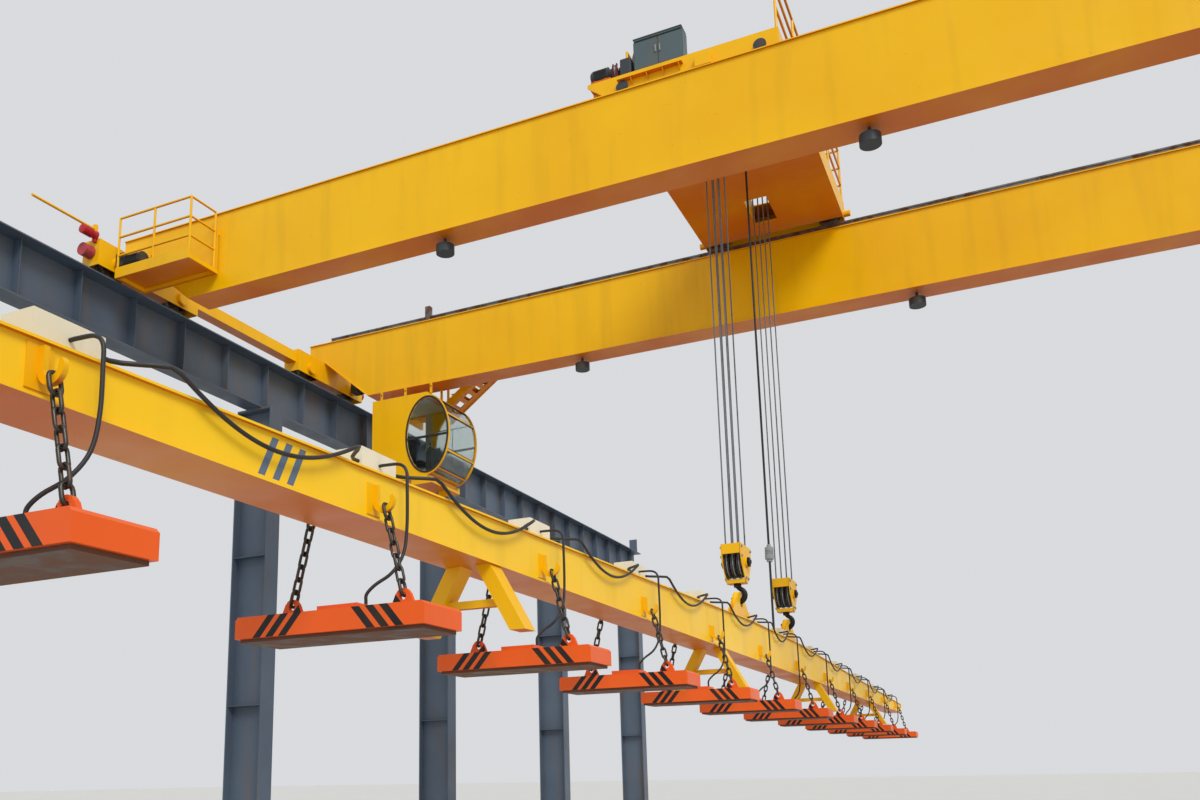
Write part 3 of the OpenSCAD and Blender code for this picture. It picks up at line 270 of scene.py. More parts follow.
rail_steel = bare_steel("rolled_rail_steel", "#8f8d8a", "#6d6a66", "#5d4030", 0.45, 0.38)
wheel_steel = bare_steel("turned_wheel_steel", "#8a8986", "#5f5d5a", "#4c372b", 0.3, 0.4)
forged_black = bare_steel("forged_black_steel", "#34332f", "#1f1e1d", "#4a3325", 0.2, 0.5, 0.8)
chain_steel = bare_steel("blackened_chain_steel", "#5b5853", "#37342f", "#57402f", 0.25, 0.42, 0.9)
rope_steel = bare_steel("greased_wire_rope", "#a2a3a8", "#85868b", "#5d554e", 0.05, 0.45, 0.35, hollow="hollow")
sole_steel = bare_steel("worn_pole_steel", "#6d5445", "#4c382f", "#6a4128", 0.6, 0.5, 0.7)
zinc = bare_steel("zinc_plated_bolt_steel", "#a9abad", "#8c8e90", "#6f5a44", 0.15, 0.4)

# %% [markdown]
# ## Rubber, plastic and glass
#
# Cables have a black rubber sheath with a soft sheen, buffers are cellular polyurethane with fine pores, the seat is
# covered in black vinyl, and the cab is glazed in lightly tinted float glass with a film of dust.


# %% Rubber, plastic and glass
def moulded(name, colour, shade, roughness, grain):
    """Rubber or plastic whose grain is given in metres."""
    finish, put = new_finish(name)
    place = put("TexCoord", output="Object")
    lumps = {"shade": (7, 4), "sheen": (14, 3), "grain": (1 / grain, 2)}
    cloud = {what: put("TexNoise", {"Vector": place, "Scale": s, "Detail": d}) for what, (s, d) in lumps.items()}
    shaded = put("MapRange", [cloud["shade"], 0.35, 0.7])
    shader = {"Base Color": coloured(put, linear(colour), [(shaded, linear(shade))])}
    shader["Roughness"] = put("MapRange", [cloud["sheen"], 0.3, 0.7, roughness, roughness + 0.15])
    shader["Normal"] = put("Bump", {"Height": cloud["grain"], "Strength": 0.2, "Distance": grain * 0.2})
    put("OutputMaterial", [put("BsdfPrincipled", shader)])
    return finish


cable_rubber = moulded("chloroprene_cable_sheath", "#1d1c1f", "#2c2a2b", 0.45, 0.006)
seal_rubber = moulded("glazing_seal_rubber", "#161618", "#232325", 0.5, 0.004)
buffer_foam = moulded("cellular_polyurethane", "#b8434a", "#8f3038", 0.6, 0.01)
seat_vinyl = moulded("moulded_seat_vinyl", "#1f2022", "#2b2c2e", 0.5, 0.004)
console_grey = moulded("console_plastic", "#55585a", "#484b4d", 0.5, 0.003)

glass, put = new_finish("tinted_float_glass")
place = put("TexCoord", output="Object")
tint, film = [put("TexNoise", {"Vector": place, "Scale": s, "Detail": d}) for s, d in ((3, 3), (5, 5))]
tinted = coloured(put, linear("#e4ecea"), [(tint, linear("#d3dedb"))])
filmed = put("MapRange", [film, 0.4, 0.75, 0.02, 0.16])
clear = {"Transmission Weight": 1.0, "IOR": 1.52, "Base Color": tinted, "Roughness": filmed}
put("OutputMaterial", [put("BsdfPrincipled", clear)])
print("finishes", len(bpy.data.materials))

# %% [markdown]
# ## Which node gets which finish
#
# The CAD nodes whose shape is right stay as they are, and only take a better material.

# %% Finishes for the CAD nodes
wears = {
    yellow: "girder_front girder_rear end_carriage_left end_carriage_right service_platforms platform_railings "
    "rear_walkway rear_railing cab_body cab_stair crab_frame crab_railing hook_blocks beam_legs chain_hooks",
    lit_beam_yellow: "load_beam",
    steel_blue: "columns_left columns_right runway_girder_left runway_girder_right",
    rail_steel: "runway_rail_left runway_rail_right crab_rails",
    wheel_steel: "bridge_wheels_1 bridge_wheels_2 bridge_wheels_3 bridge_wheels_4 crab_wheels_left crab_wheels_right "
    "upper_sheaves block_sheaves hoist_drums",
    machine_grey: "travel_drives hoist_drives crab_travel_drive lamps",
    cabinet_grey: "crab_cabinet",
    signal_red: "siren",
    buffer_foam: "buffers",
    glass: "cab_glass",
    seat_vinyl: "cab_seat",
    forged_black: "lifting_hooks",
    chain_steel: "magnet_chains",
    orange_red: "magnets",
    sole_steel: "magnet_soles",
    cream: "junction_boxes",
    cable_rubber: "hoist_ropes power_cable trunk_cable magnet_cables",
}
for finish, names in wears.items():
    for name in names.split():
        nodes[name].data.materials.clear()
        nodes[name].data.materials.append(finish)
print("finished nodes", sum(len(names.split()) for names in wears.values()), "of", len(nodes))

# %% [markdown]
# ## Shells worked out as arrays
#
# Each new piece is a shell: an array of points and an array of four-cornered faces. A rope, a link of chain, a seal
# and a cable are all one outline carried along a path, so one function makes the rings of points and another joins
# them. Working on whole arrays keeps a rope with thousands of rings as quick to write as a box.


# %% Shell helpers
def unit(v):
    """Each vector divided by its length."""
    return v / np.linalg.norm(v, axis=-1, keepdims=True)


def joined_rings(rings, loop=False):
    """Rings of an even number k of points become a skin. Point j of ring i meets point j + 1, and both of ring i + 1.
    An end is shut by faces that join point j to its mirror image k - 1 - j, and a loop's last ring meets its first."""
    n, k = rings.shape[:2]
    i, j = np.meshgrid(np.arange(n if loop else n - 1), np.arange(k), indexing="ij")
    after, beside = (i + 1) % n * k, (j + 1) % k
    faces = np.stack([i * k + j, i * k + beside, after + beside, after + j], -1).reshape(-1, 4)
    if not loop:
        j = np.arange(k // 2 - 1)
        cap = np.stack([j, j + 1, k - 2 - j, k - 1 - j], -1)
        faces = np.concatenate([faces, cap[:, ::-1], cap + (n - 1) * k])
    return rings.reshape(-1, 3), faces


def swept(path, outline, side, loop=False):
    """Carries an outline (k, 2), or one for each path point (n, k, 2), along a path. Across the path its first axis is
    side x direction and its second is direction x that, so side must never run along the path."""
    if loop:
        ahead, behind = np.roll(path, -1, 0), np.roll(path, 1, 0)
    else:
        ahead, behind = np.vstack([path[1:], path[-1:]]), np.vstack([path[:1], path[:-1]])
    direction = unit(ahead - behind)
    first = unit(np.cross(np.asarray(side, float), direction))
    second = np.cross(direction, first)
    outline = np.broadcast_to(outline, (len(path),) + np.shape(outline)[-2:])
    rings = path[:, None] + outline[..., :1] * first[:, None] + outline[..., 1:] * second[:, None]
    return joined_rings(rings, loop)


def circle(radius, count):
    """count points at equal angles, at that distance from the middle."""
    angle = np.arange(count) * 2 * np.pi / count
    return np.stack([radius * np.cos(angle), radius * np.sin(angle)], -1)


def rounded(width, height, corner, each=3):
    """A rectangle's outline with round corners of each + 1 points."""
    turn = np.linspace(0, np.pi / 2, each + 1)
    quarter = np.stack([np.cos(turn), np.sin(turn)], -1) * corner
    w, h = width / 2 - corner, height / 2 - corner
    spin = np.array([[0, -1], [1, 0]])
    middles = [(w, h), (-w, h), (-w, -h), (w, -h)]
    return np.concatenate([quarter @ np.linalg.matrix_power(spin.T, q) + m for q, m in enumerate(middles)])


def turned(profile, start, axis, around=32):
    """A lathe shape: for each (distance, radius) of the profile, a circle of that radius round the axis."""
    axis = unit(np.asarray(axis, float))
    first = unit(np.cross(axis, (0.31, 0.94, 0.13) if abs(axis[2]) > 0.5 else (0.0, 0.0, 1.0)))
    second = np.cross(axis, first)
    angle = np.arange(around) * 2 * np.pi / around
    spokes = np.cos(angle)[:, None] * first + np.sin(angle)[:, None] * second
    profile = np.asarray(profile, float)
    return joined_rings(np.asarray(start) + profile[:, None, :1] * axis + profile[:, None, 1:] * spokes)


def slab(low, high):
    """A box between two opposite corners, as two rings of four."""
    (x, y, z), (a, b, c) = low, high
    ring = np.array([[x, y], [a, y], [a, b], [x, b]], float)
    return joined_rings(np.stack([np.column_stack([ring, np.full(4, h)]) for h in (z, c)]))


def plate(outline, low, high, axis):
    """An outline of an even number of points (k, 2), carried along an axis from low to high."""
    outline = np.asarray(outline, float)
    rings = [np.insert(outline, axis, level, axis=1) for level in (low, high)]
    return joined_rings(np.stack(rings))


def together(shells):
    """Several shells as one, the faces of each counted on from the points before it."""
    starts = np.cumsum([0] + [len(points) for points, faces in shells[:-1]])
    faces = [shell[1] + start for shell, start in zip(shells, starts)]
    return np.concatenate([shell[0] for shell in shells]), np.concatenate(faces)


def copies(shell, shifts):
    """The same shell at each of several shifts."""
    points, faces = shell
    shifts = np.asarray(shifts, float)
    steps = np.arange(len(shifts))[:, None, None] * len(points)
    return (points[None] + shifts[:, None]).reshape(-1, 3), (faces[None] + steps).reshape(-1, 4)


def mirrored(shell, axis, about=0.0):
    """The shell and its mirror image across the plane where that axis is about."""
    points, faces = shell
    other = points.copy()
    other[:, axis] = 2 * about - other[:, axis]
    return together([shell, (other, faces[:, ::-1])])


# %% [markdown]
# ## From arrays to a piece
#
# foreach_set copies the arrays into a mesh. Blender then turns the faces outwards, and edges sharper than a given
# angle stay crisp. The piece is told which body of the crane carries it, and which CAD nodes it stands for.


# %% Piece helper
def piece(name, shell, finish, body, slot, stands_for=(), bevel=0.0, merge=False, sharp=35, attribute=None):
    """A mesh object from a shell. bevel is in metres and sharp in degrees, and attribute is a name and a number for
    each point."""
    points, faces = shell
    mesh = bpy.data.meshes.new(name)
    mesh.vertices.add(len(points))
    mesh.vertices.foreach_set("co", np.asarray(points, np.float32).ravel())
    mesh.loops.add(faces.size)
    mesh.loops.foreach_set("vertex_index", faces.astype(np.int32).ravel())
    mesh.polygons.add(len(faces))
    mesh.polygons.foreach_set("loop_start", np.arange(0, faces.size, 4, dtype=np.int32))
    mesh.update(calc_edges=True)
    work = bmesh.new()
    work.from_mesh(mesh)
    if merge:
        bmesh.ops.remove_doubles(work, verts=work.verts, dist=1e-5)
    bmesh.ops.recalc_face_normals(work, faces=work.faces)
    work.to_mesh(mesh)
    work.free()
    if attribute is not None:
        label, values = attribute
        mesh.attributes.new(label, "FLOAT", "POINT").data.foreach_set("value", values.astype(np.float32).ravel())
    mesh.shade_smooth()
    mesh.set_sharp_from_angle(angle=math.radians(sharp))
    mesh.materials.append(finish)
    made = bpy.data.objects.new(name, mesh)
    bpy.context.scene.collection.objects.link(made)
    if bevel:
        edge = made.modifiers.new("soft_edges", "BEVEL")
        edge.width, edge.segments, edge.limit_method, edge.angle_limit = bevel, 2, "ANGLE", math.radians(50)
        edge.harden_normals = True
    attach(made, body)
    if stands_for:
        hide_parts(*stands_for)
    print(f"{name}: {len(mesh.polygons)} faces")
    return made


def at_crab(x, y, z):
    """A place given from the crab's middle, in the shared frame."""
    return np.array([crab_x + x, bridge_y + y, z], float)


# %% [markdown]
# ## The beam's top edge
#
# The beam is level below. It is 0.56 m deep between its lugs and 0.24 m at its ends, and its cables follow the top
# edge. New pieces that stand on a CAD solid keep 0.3 mm off it, so that their faces don't fight for the same place.

# %% Beam line
sides = (-1, 1)
stand_off = 0.0003
hook_y = 1.6
beam_under = 3.2
beam_depth, end_depth = 0.56, 0.24
beam_end = 15.0


def beam_top(y):
    """Level between the lugs, then a straight slope: depth = middle - (middle - end) * how far y is towards the end."""
    outward = np.maximum(0, (np.abs(y) - hook_y) / (beam_end - hook_y))
    return beam_under + beam_depth - (beam_depth - end_depth) * outward


hook_places = [at_crab(0, s * hook_y, 0) for s in sides]
magnet_ys = (np.arange(12) - 5.5) * 2.5
box_ys = magnet_ys - np.sign(magnet_ys) * 0.25
hook_seat = beam_under + 0.08
lug_height = beam_under - 0.5
print("beam top", np.round(beam_top(np.array([0, beam_end])), 3), "magnets at", magnet_ys[[0, -1]])

# %% [markdown]
# ## Wire rope
#
# A hoist rope is six strands laid round a core, so its outline is a flower of six lobes that turns as it climbs. The
# outline has twelve points, alternately on a strand and in the hollow between two, and each ring turns 30 degrees
# against the one below it. At 14 mm between rings that gives a lay of 168 mm, seven times the rope's diameter, as real
# ropes have. The falls only get shorter when the load rises. The load rises 5.5 m of their 8 m, which leaves 0.3125 of
# their length.

# %% Hoist rope falls
rope_d = 0.024
sheave_pitch = 0.09
sheave_r = 0.21
block_sheave_z = 4.63
upper_sheave_z = 12.63
fall_length = upper_sheave_z - block_sheave_z
heights = np.linspace(block_sheave_z, upper_sheave_z, int(fall_length / 0.0141) + 1)
turn = np.radians(30) * (np.arange(len(heights))[:, None] + np.arange(12))
lobe = np.where(np.arange(12) % 2 == 0, 1.0, 0.72) * rope_d / 2
strands = np.stack([lobe * np.cos(turn), lobe * np.sin(turn)], -1)
one_fall = swept(np.column_stack([np.zeros((len(heights), 2)), heights]), strands, (1, 0, 0))
places = [at_crab((i - 1) * sheave_pitch, s * hook_y + e * sheave_r, 0) for s in sides for i in range(3) for e in sides]
falls = copies(one_fall, places)
hollow = np.tile(np.tile(np.arange(12) % 2, len(heights)), len(places))
laid = {"sharp": 80, "attribute": ("hollow", hollow)}
ropes = piece("hoist_rope_falls", falls, rope_steel, "crab", "rope_steel", ["hoist_ropes"], **laid)
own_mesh(ropes)


# %% Rope round the sheaves and on the drums
def arc(centre, radius, start, end, count, first, second):
    """Points centre + radius (cos t * first + sin t * second), for t from start to end in degrees."""
    t = np.radians(np.linspace(start, end, count))[:, None]
    return np.asarray(centre) + radius * (np.cos(t) * np.asarray(first, float) + np.sin(t) * np.asarray(second, float))


sheave_places = np.array([at_crab((i - 1) * sheave_pitch, s * hook_y, 0) for s in sides for i in range(3)])
for name, body, height, start in (("block", "load", block_sheave_z, 180), ("upper", "crab", upper_sheave_z, 0)):
    bend_line = arc((0, 0, 0), sheave_r, start, start + 180, 25, (0, 1, 0), (0, 0, 1))
    turns = copies(swept(bend_line, circle(rope_d * 0.46, 8), (1, 0, 0)), sheave_places + (0, 0, height))
    plain = {"sharp": 80, "attribute": ("hollow", np.zeros(len(turns[0])))}
    piece(f"{name}_rope_turns", turns, rope_steel, body, "rope_steel", **plain)

drum_r, drum_x, drum_z = 0.3, -0.7, 12.78
drum_turns, turn_pitch, coil_start = 18, 0.028, 0.72
angle = np.linspace(0, 2 * np.pi * drum_turns, drum_turns * 30 + 1)
coil_r = drum_r + rope_d / 2
coil_y = coil_start - turn_pitch * angle / (2 * np.pi)
coil = np.column_stack([coil_r * np.cos(angle), coil_y, coil_r * np.sin(angle)])
coil = mirrored(swept(coil, circle(rope_d * 0.48, 6), (0, 1, 0)), 1)
coils = copies(coil, [at_crab(drum_x, s * hook_y, drum_z) for s in sides])
plain = {"sharp": 80, "attribute": ("hollow", np.zeros(len(coils[0])))}
piece("drum_rope_turns", coils, rope_steel, "crab", "rope_steel", **plain)

# %% [markdown]
# ## Chain
#
# A link is a round bar bent to a stadium and welded. Each chain has a wide master link at both ends, which passes
# round the hook plate and through the magnet's lug, and five narrow links between. The links stand crosswise in turn,
# and each hangs in the one above, so the pitch equals the link's inner length.


# %% Magnet chains
def chain_link(inner, gap, bar, along, across):
    """A circle swept along a stadium: two half circles whose middles are inner - gap apart, in the plane of two
    directions."""
    t = np.radians(np.linspace(0, 180, 8))[:, None]
    radius, half = (gap + bar) / 2, (inner - gap) / 2
    far = radius * (np.cos(t) * across + np.sin(t) * along) + half * along
    path = np.concatenate([far, -far])
    return swept(path, circle(bar / 2, 6), np.cross(along, across), loop=True)


chain_parts = []
links = 7
chain_gap, narrow_gap = 0.038, 0.027
master_bar, narrow_bar = 0.022, 0.02
hook_out, lug_offset, lug_hole_r = 0.28, 0.42, 0.024
# A plate inside a link's round end stops short of the end by r - sqrt(r^2 - t^2), for a plate of half thickness t
seat_drops = [chain_gap / 2 - math.sqrt((chain_gap / 2) ** 2 - t**2) + 0.0044 for t in (0.014, 0.015)]
for e in sides:
    top = np.array([e * hook_out, 0, hook_seat + seat_drops[0]])
    low = np.array([e * lug_offset, 0, lug_height + lug_hole_r - seat_drops[1]])
    along = unit(low - top)
    pitch = np.linalg.norm(low - top) / links
    for i in range(links):
        across = np.array([0.0, 1.0, 0.0]) if i % 2 == 0 else np.cross(along, (0, 1, 0))
        gap, bar = (chain_gap, master_bar) if i in (0, links - 1) else (narrow_gap, narrow_bar)
        link = chain_link(pitch, gap, bar, along, across)
        centre = top + along * pitch * (i + 0.5)
        chain_parts.append(copies(link, [at_crab(*(centre + (0, y, 0))) for y in magnet_ys]))
piece("magnet_chain_links", together(chain_parts), chain_steel, "load", "chain_steel", ["magnet_chains"], sharp=70)

# %% [markdown]
# ## Forged hooks
#
# A crane hook is forged from one bar: a shank above, a body that is thickest where it bends round the load, and a
# point that tapers. The section is an ellipse carried along the line of the bend. Its breadth and its depth change
# along the way.

# %% Hooks
hook_z = 4.15
bend = 0.1
angle = np.radians(np.linspace(58, -166, 57))
bowl = np.column_stack([bend * np.cos(angle), np.zeros(57), bend * np.sin(angle)])
# The neck is a cubic Bezier curve from the shank down into the bowl
s = np.linspace(0, 1, 9)[:-1, None]
neck = (1 - s) ** 3 * (0, 0, 0.169) + 3 * s * (1 - s) ** 2 * (0, 0, 0.12)
neck = neck + 3 * s**2 * (1 - s) * (0.012, 0, 0.112) + s**3 * bowl[0]
line = np.vstack([neck, bowl])
t = np.linspace(0, 1, len(line))
stations = [0, 0.1, 0.3, 0.5, 0.72, 0.92, 1]
body_depth = np.interp(t, stations, [0.034, 0.035, 0.041, 0.042, 0.04, 0.026, 0.008])
body_breadth = np.interp(t, stations, [0.034, 0.033, 0.031, 0.033, 0.032, 0.021, 0.008])
section = circle(1, 20) * np.stack([body_depth, body_breadth], -1)[:, None]
hook = swept(line, section, (0, 1, 0))
collar = [(0, 0.03), (0, 0.052), (0.022, 0.056), (0.044, 0.056), (0.05, 0.05), (0.05, 0.03)]
collar = turned(collar, (0, 0, 0.119), (0, 0, 1), 24)
hooks = copies(together([hook, collar]), [at_crab(0, s * hook_y, hook_z) for s in sides])
piece("forged_hooks", hooks, forged_black, "load", "hook_black", ["lifting_hooks"], sharp=60)

# %% [markdown]
# ## Hook blocks
#
# A hook block is two cheek plates with the sheaves between them. The cheeks narrow to a rounded foot that holds the
# hook's crosshead, and straps with bolts tie them at the top. A plate is an outline carried straight through its
# thickness.


# %% Plates
def ring_plate(outline, hole, low, high, axis):
    """A plate with a hole: the outline and the hole have as many points, and faces run between them on both sides."""
    levels = ((hole, low), (outline, low), (outline, high), (hole, high))
    loops = [np.insert(np.asarray(loop, float), axis, level, axis=1) for loop, level in levels]
    k = len(outline)
    i, j = np.meshgrid(np.arange(4), np.arange(k), indexing="ij")
    after, beside = (i + 1) % 4 * k, (j + 1) % k
    faces = np.stack([i * k + j, i * k + beside, after + beside, after + j], -1).reshape(-1, 4)
    return np.concatenate(loops), faces


def spaced(corners, count):
    """The closed line through the corners, cut into count equal steps."""
    corners = np.asarray(corners, float)
    closed = np.vstack([corners, corners[:1]])
    walked = np.concatenate([[0], np.cumsum(np.linalg.norm(np.diff(closed, axis=0), axis=1))])
    at = np.linspace(0, walked[-1], count, endpoint=False)
    return np.column_stack([np.interp(at, walked, closed[:, i]) for i in (0, 1)])


# %% Hook blocks
cheek_x, cheek_t, cheek_half = 0.134, 0.014, 0.285
block_top, block_foot, foot_r = 4.88, 4.32, 0.11
cheek_face = cheek_x + cheek_t - 0.001
foot_turn = np.radians(np.linspace(-25, -155, 8))
cheek = [(cheek_half, block_top), (cheek_half, 4.70), (0.26, 4.60)]
cheek += [(foot_r * math.cos(a), block_foot + foot_r + foot_r * math.sin(a)) for a in foot_turn]
cheek += [(-0.26, 4.60), (-cheek_half, 4.70), (-cheek_half, block_top)]
block_parts = [plate(cheek, *sorted((e * cheek_x, e * (cheek_x + cheek_t))), 0) for e in sides]
for e in sides:
    strap = (cheek_x, e * 0.262 + 0.01, block_top)
    block_parts.append(slab((-cheek_x, e * 0.262 - 0.01, block_top - 0.15), strap))
block_parts.append(slab((-cheek_x, -0.09, block_foot), (cheek_x, 0.09, block_foot + 0.06)))
boss = [(0, 0.0), (0, 0.085), (0.02, 0.085), (0.024, 0.08), (0.024, 0.0)]
block_parts += [turned(boss, (e * cheek_face, 0, block_sheave_z), (e, 0, 0), 32) for e in sides]
cheeks = copies(together(block_parts), hook_places)
piece("hook_block_cheeks", cheeks, yellow, "load", "crane_paint", ["hook_blocks"], bevel=0.003)
bolt_yz = [(y, z) for y in (-0.25, 0.25) for z in (4.83, 4.69)] + [(-0.06, 4.39), (0.06, 4.39)]
head = [(0, 0.0), (0, 0.022), (0.014, 0.022), (0.018, 0.018), (0.018, 0.0)]
heads = [turned(head, (e * cheek_face, y, z), (e, 0, 0), 6) for e in sides for y, z in bolt_yz]
heads = copies(together(heads), hook_places)
piece("hook_block_bolts", heads, zinc, "load", "hook_black", merge=True, sharp=30)

# %% [markdown]
# ## Lifting lugs
#
# Wide cheek plates stiffen the two lugs by which the beam hangs, and their rims are left as a thick edge round the
# hole.

# %% Lug cheeks
lug_hole_z, lug_rim_r = 4.0389, 0.066
lug_half, lug_cheek_t = 0.03 + stand_off, 0.012
shoulder = [(0.2, 4.09), (0.15, 4.15), (0.08, 4.185)]
corners = [(-0.62, 3.752), (0.62, 3.752), *shoulder, (0.0, 4.195), *[(-y, z) for y, z in shoulder[::-1]]]
outline = spaced(corners, 48)
toward = np.arctan2(outline[:, 1] - lug_hole_z, outline[:, 0])
hole = np.column_stack([lug_rim_r * np.cos(toward), lug_hole_z + lug_rim_r * np.sin(toward)])
lugs = [ring_plate(outline, hole, *sorted((e * lug_half, e * (lug_half + lug_cheek_t))), 0) for e in sides]
piece("lug_cheeks", copies(together(lugs), hook_places), yellow, "load", "crane_paint", bevel=0.002)

# %% [markdown]
# ## Chain hooks
#
# Each chain hangs in a J-shaped hook cut from thick plate, which stands on a doubler on the beam's web. The J is a
# flat bar carried down the web, round the bowl and up to its tip, and its section grows narrow towards the tip.

# %% Chain hooks
bowl = np.array([0.272, 0, 3.325])
angle = np.radians(np.linspace(180, 385, 30))
curve = bowl + 0.062 * np.column_stack([np.cos(angle), np.zeros(30), np.sin(angle)])
shank_z = np.linspace(3.43, 3.335, 4)
line = np.vstack([np.column_stack([np.full(4, 0.21), np.zeros(4), shank_z]), curve])
thick = np.interp(np.arange(len(line)), [0, 18, 30, 33], [0.019, 0.019, 0.016, 0.01])
section = np.array([[-1, -1], [1, -1], [1, 1], [-1, 1]]) * np.stack([thick, np.full(len(line), 0.014)], -1)[:, None]
j_hook = swept(line, section, (0, 1, 0))
doubler = slab((0.1853, -0.07, 3.235), (0.192, 0.07, 3.44))
hooks_on_web = mirrored(together([j_hook, doubler]), 0)
hooks_on_web = copies(hooks_on_web, [at_crab(0, y, 0) for y in magnet_ys])
piece("chain_j_hooks", hooks_on_web, yellow, "load", "crane_paint", ["chain_hooks"])

# %% [markdown]
# ## Cables along the beam
#
# A trunk cable runs from box to box, sags between them outside the beam's flange, and a thinner cable drops from each
# box to its magnet. Both are mesh tubes on the same lines as the CAD solids. The lines are smoothed by a Catmull-Rom
# curve, which passes through every given point and leaves it in the direction from the one before to the one after.


# %% Cable tubes
def smooth_line(points, each=8):
    """Catmull-Rom: between p1 and p2 the point is a cubic in t whose end directions are (p2 - p0) / 2 and
    (p3 - p1) / 2."""
    p = np.asarray(points, float)
    p = np.vstack([2 * p[0] - p[1], p, 2 * p[-1] - p[-2]])
    a, b, c, d = p[:-3, None], p[1:-2, None], p[2:-1, None], p[3:, None]
    t = np.linspace(0, 1, each, endpoint=False)[None, :, None]
    line = 0.5 * (2 * b + (c - a) * t + (2 * a - 5 * b + 4 * c - d) * t**2 + (3 * b - 3 * c + d - a) * t**3)
    return np.vstack([line.reshape(-1, 3), p[-2]])


def line_length(line):
    """Sum of the distances between neighbouring points."""
    return float(np.linalg.norm(np.diff(line, axis=0), axis=1).sum())


def cable_piece(name, line, diameter, side, stands_for, body="load"):
    """A round tube along the line. Both its ends go into the crane."""
    tube = swept(line, circle(diameter / 2, 10), side)
    made = piece(name, tube, cable_rubber, body, "cable_rubber", stands_for, sharp=70)
    return made


# %% Trunk cable
trunk_d, drop_d, feeder_d = 0.026, 0.022, 0.036
trunk_start, trunk_x = 0.03, 0.234
trunk_rise, trunk_sag = 0.1, 0.23
box_half = 0.2 + stand_off
trunk_lengths = []
for i in range(11):
    y0 = box_ys[i] + box_half
    y1 = box_ys[i + 1] - box_half
    f = np.linspace(0, 1, 41)
    y = y0 + (y1 - y0) * f
    edge = np.clip(8 * (np.minimum(f, 1 - f) - 0.02), 0, 1)
    out = edge * edge * (3 - 2 * edge)
    dip = np.maximum(0, (4 * f * (1 - f) - 0.45) / 0.55) ** 1.1
    x = trunk_start + (trunk_x - trunk_start) * out
    line = np.column_stack([crab_x + x, bridge_y + y, beam_top(y) + trunk_rise - trunk_sag * dip])
    cable_piece(f"trunk_cable_{i + 1}", line, trunk_d, (0, 0, 1), ["trunk_cable"])
    trunk_lengths.append(line_length(line))
print("trunk stretches", np.round(trunk_lengths, 3))

# %% Drop cables
drop_lengths = []
drop_x = 0.279
for i, (m, y) in enumerate(zip(magnet_ys, box_ys)):
    top = float(beam_top(abs(y) + 0.1))
    end = m - np.sign(y) * 0.06
    shift = end - y
    points = [(0.0603, y, top + 0.11), (0.11, y, top + 0.11)]
    points += [(drop_x - 0.06, y, top + 0.1), (drop_x - 0.008, y, top + 0.05)]
    points += [(drop_x, y, top - 0.06), (drop_x, y, beam_under), (drop_x - 0.008, y + shift * 0.15, lug_height + 0.32)]
    points += [(drop_x - 0.05, y + shift * 0.5, lug_height + 0.19), (0.15, y + shift * 0.85, lug_height + 0.11)]
    points += [(0.105, end, lug_height + 0.05), (0.1, end, lug_height), (0.1, end, lug_height - 0.0297)]
    line = smooth_line([at_crab(*p) for p in points], 5)
    cable_piece(f"drop_cable_{i + 1}", line, drop_d, (0, 1, 0), ["magnet_cables"])
    drop_lengths.append(line_length(line))
print("drops", np.round(drop_lengths, 3))

# %% [markdown]
# ## Power cable
#
# The cable that feeds the magnets comes straight down from the crab to a gland on the beam, through a big coupler that
# lets the beam be parted from the crane. It shortens as the load rises, like the ropes. The coupler is a lathe shape
# with a gland nut, a ribbed grip and a collar.

# %% Power cable and coupler
cable_x = 0.13
plug_top = 5.2
gland_top = beam_under + beam_depth + 0.07 + stand_off
cable_top = 11.92 - stand_off
collars = [(0, 0.016), (0, 0.045), (0.03, 0.045), (0.034, 0.06)]
collars += [(0.05, 0.07), (0.12, 0.07), (0.124, 0.062), (0.13, 0.062)]
for rib in (0.134, 0.158):
    collars += [(rib, 0.069), (rib + 0.01, 0.069), (rib + 0.014, 0.062), (rib + 0.02, 0.062)]
collars += [(0.182, 0.069), (0.235, 0.066), (0.24, 0.04), (0.28, 0.03), (0.28, 0.016)]
plug = turned(collars, at_crab(cable_x, 0, plug_top - 0.28), (0, 0, 1), 32)
plug_piece = piece("cable_coupler", plug, plug_grey, "load", "box_cream", sharp=30)
line = np.column_stack([np.full(30, crab_x + cable_x), np.full(30, bridge_y), np.linspace(cable_top, gland_top, 30)])
feeder = cable_piece("power_feeder", line, feeder_d, (1, 0, 0), ["power_cable"], "crab")
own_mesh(feeder)

# %% [markdown]
# ## The driver's cab
#
# The side windows are ellipses held by black rubber seals, with a glazing bar at mid-height. A seal is a rounded strip
# swept round the ellipse on both faces of the wall. Inside stand the driver's seat and the control desks.

# %% Window seals and bars
cab_front = -11.08
cab_mid = 8.97
cab_near = bridge_y + 2.3
cab_far = bridge_y + 3.55
window_x, window_z = 0.51, 0.835
angle = np.linspace(0, 2 * np.pi, 72, endpoint=False)
rim_x, rim_z = (window_x + 0.014) * np.cos(angle), (window_z + 0.021) * np.sin(angle)
rim = np.column_stack([cab_front + rim_x, np.zeros(72), cab_mid + rim_z])
seal = swept(rim, rounded(0.042, 0.014, 0.004, 1), (0, 1, 0), loop=True)
seals = copies(seal, [(0, y, 0) for y in (cab_near - 0.005, cab_far + 0.005)])
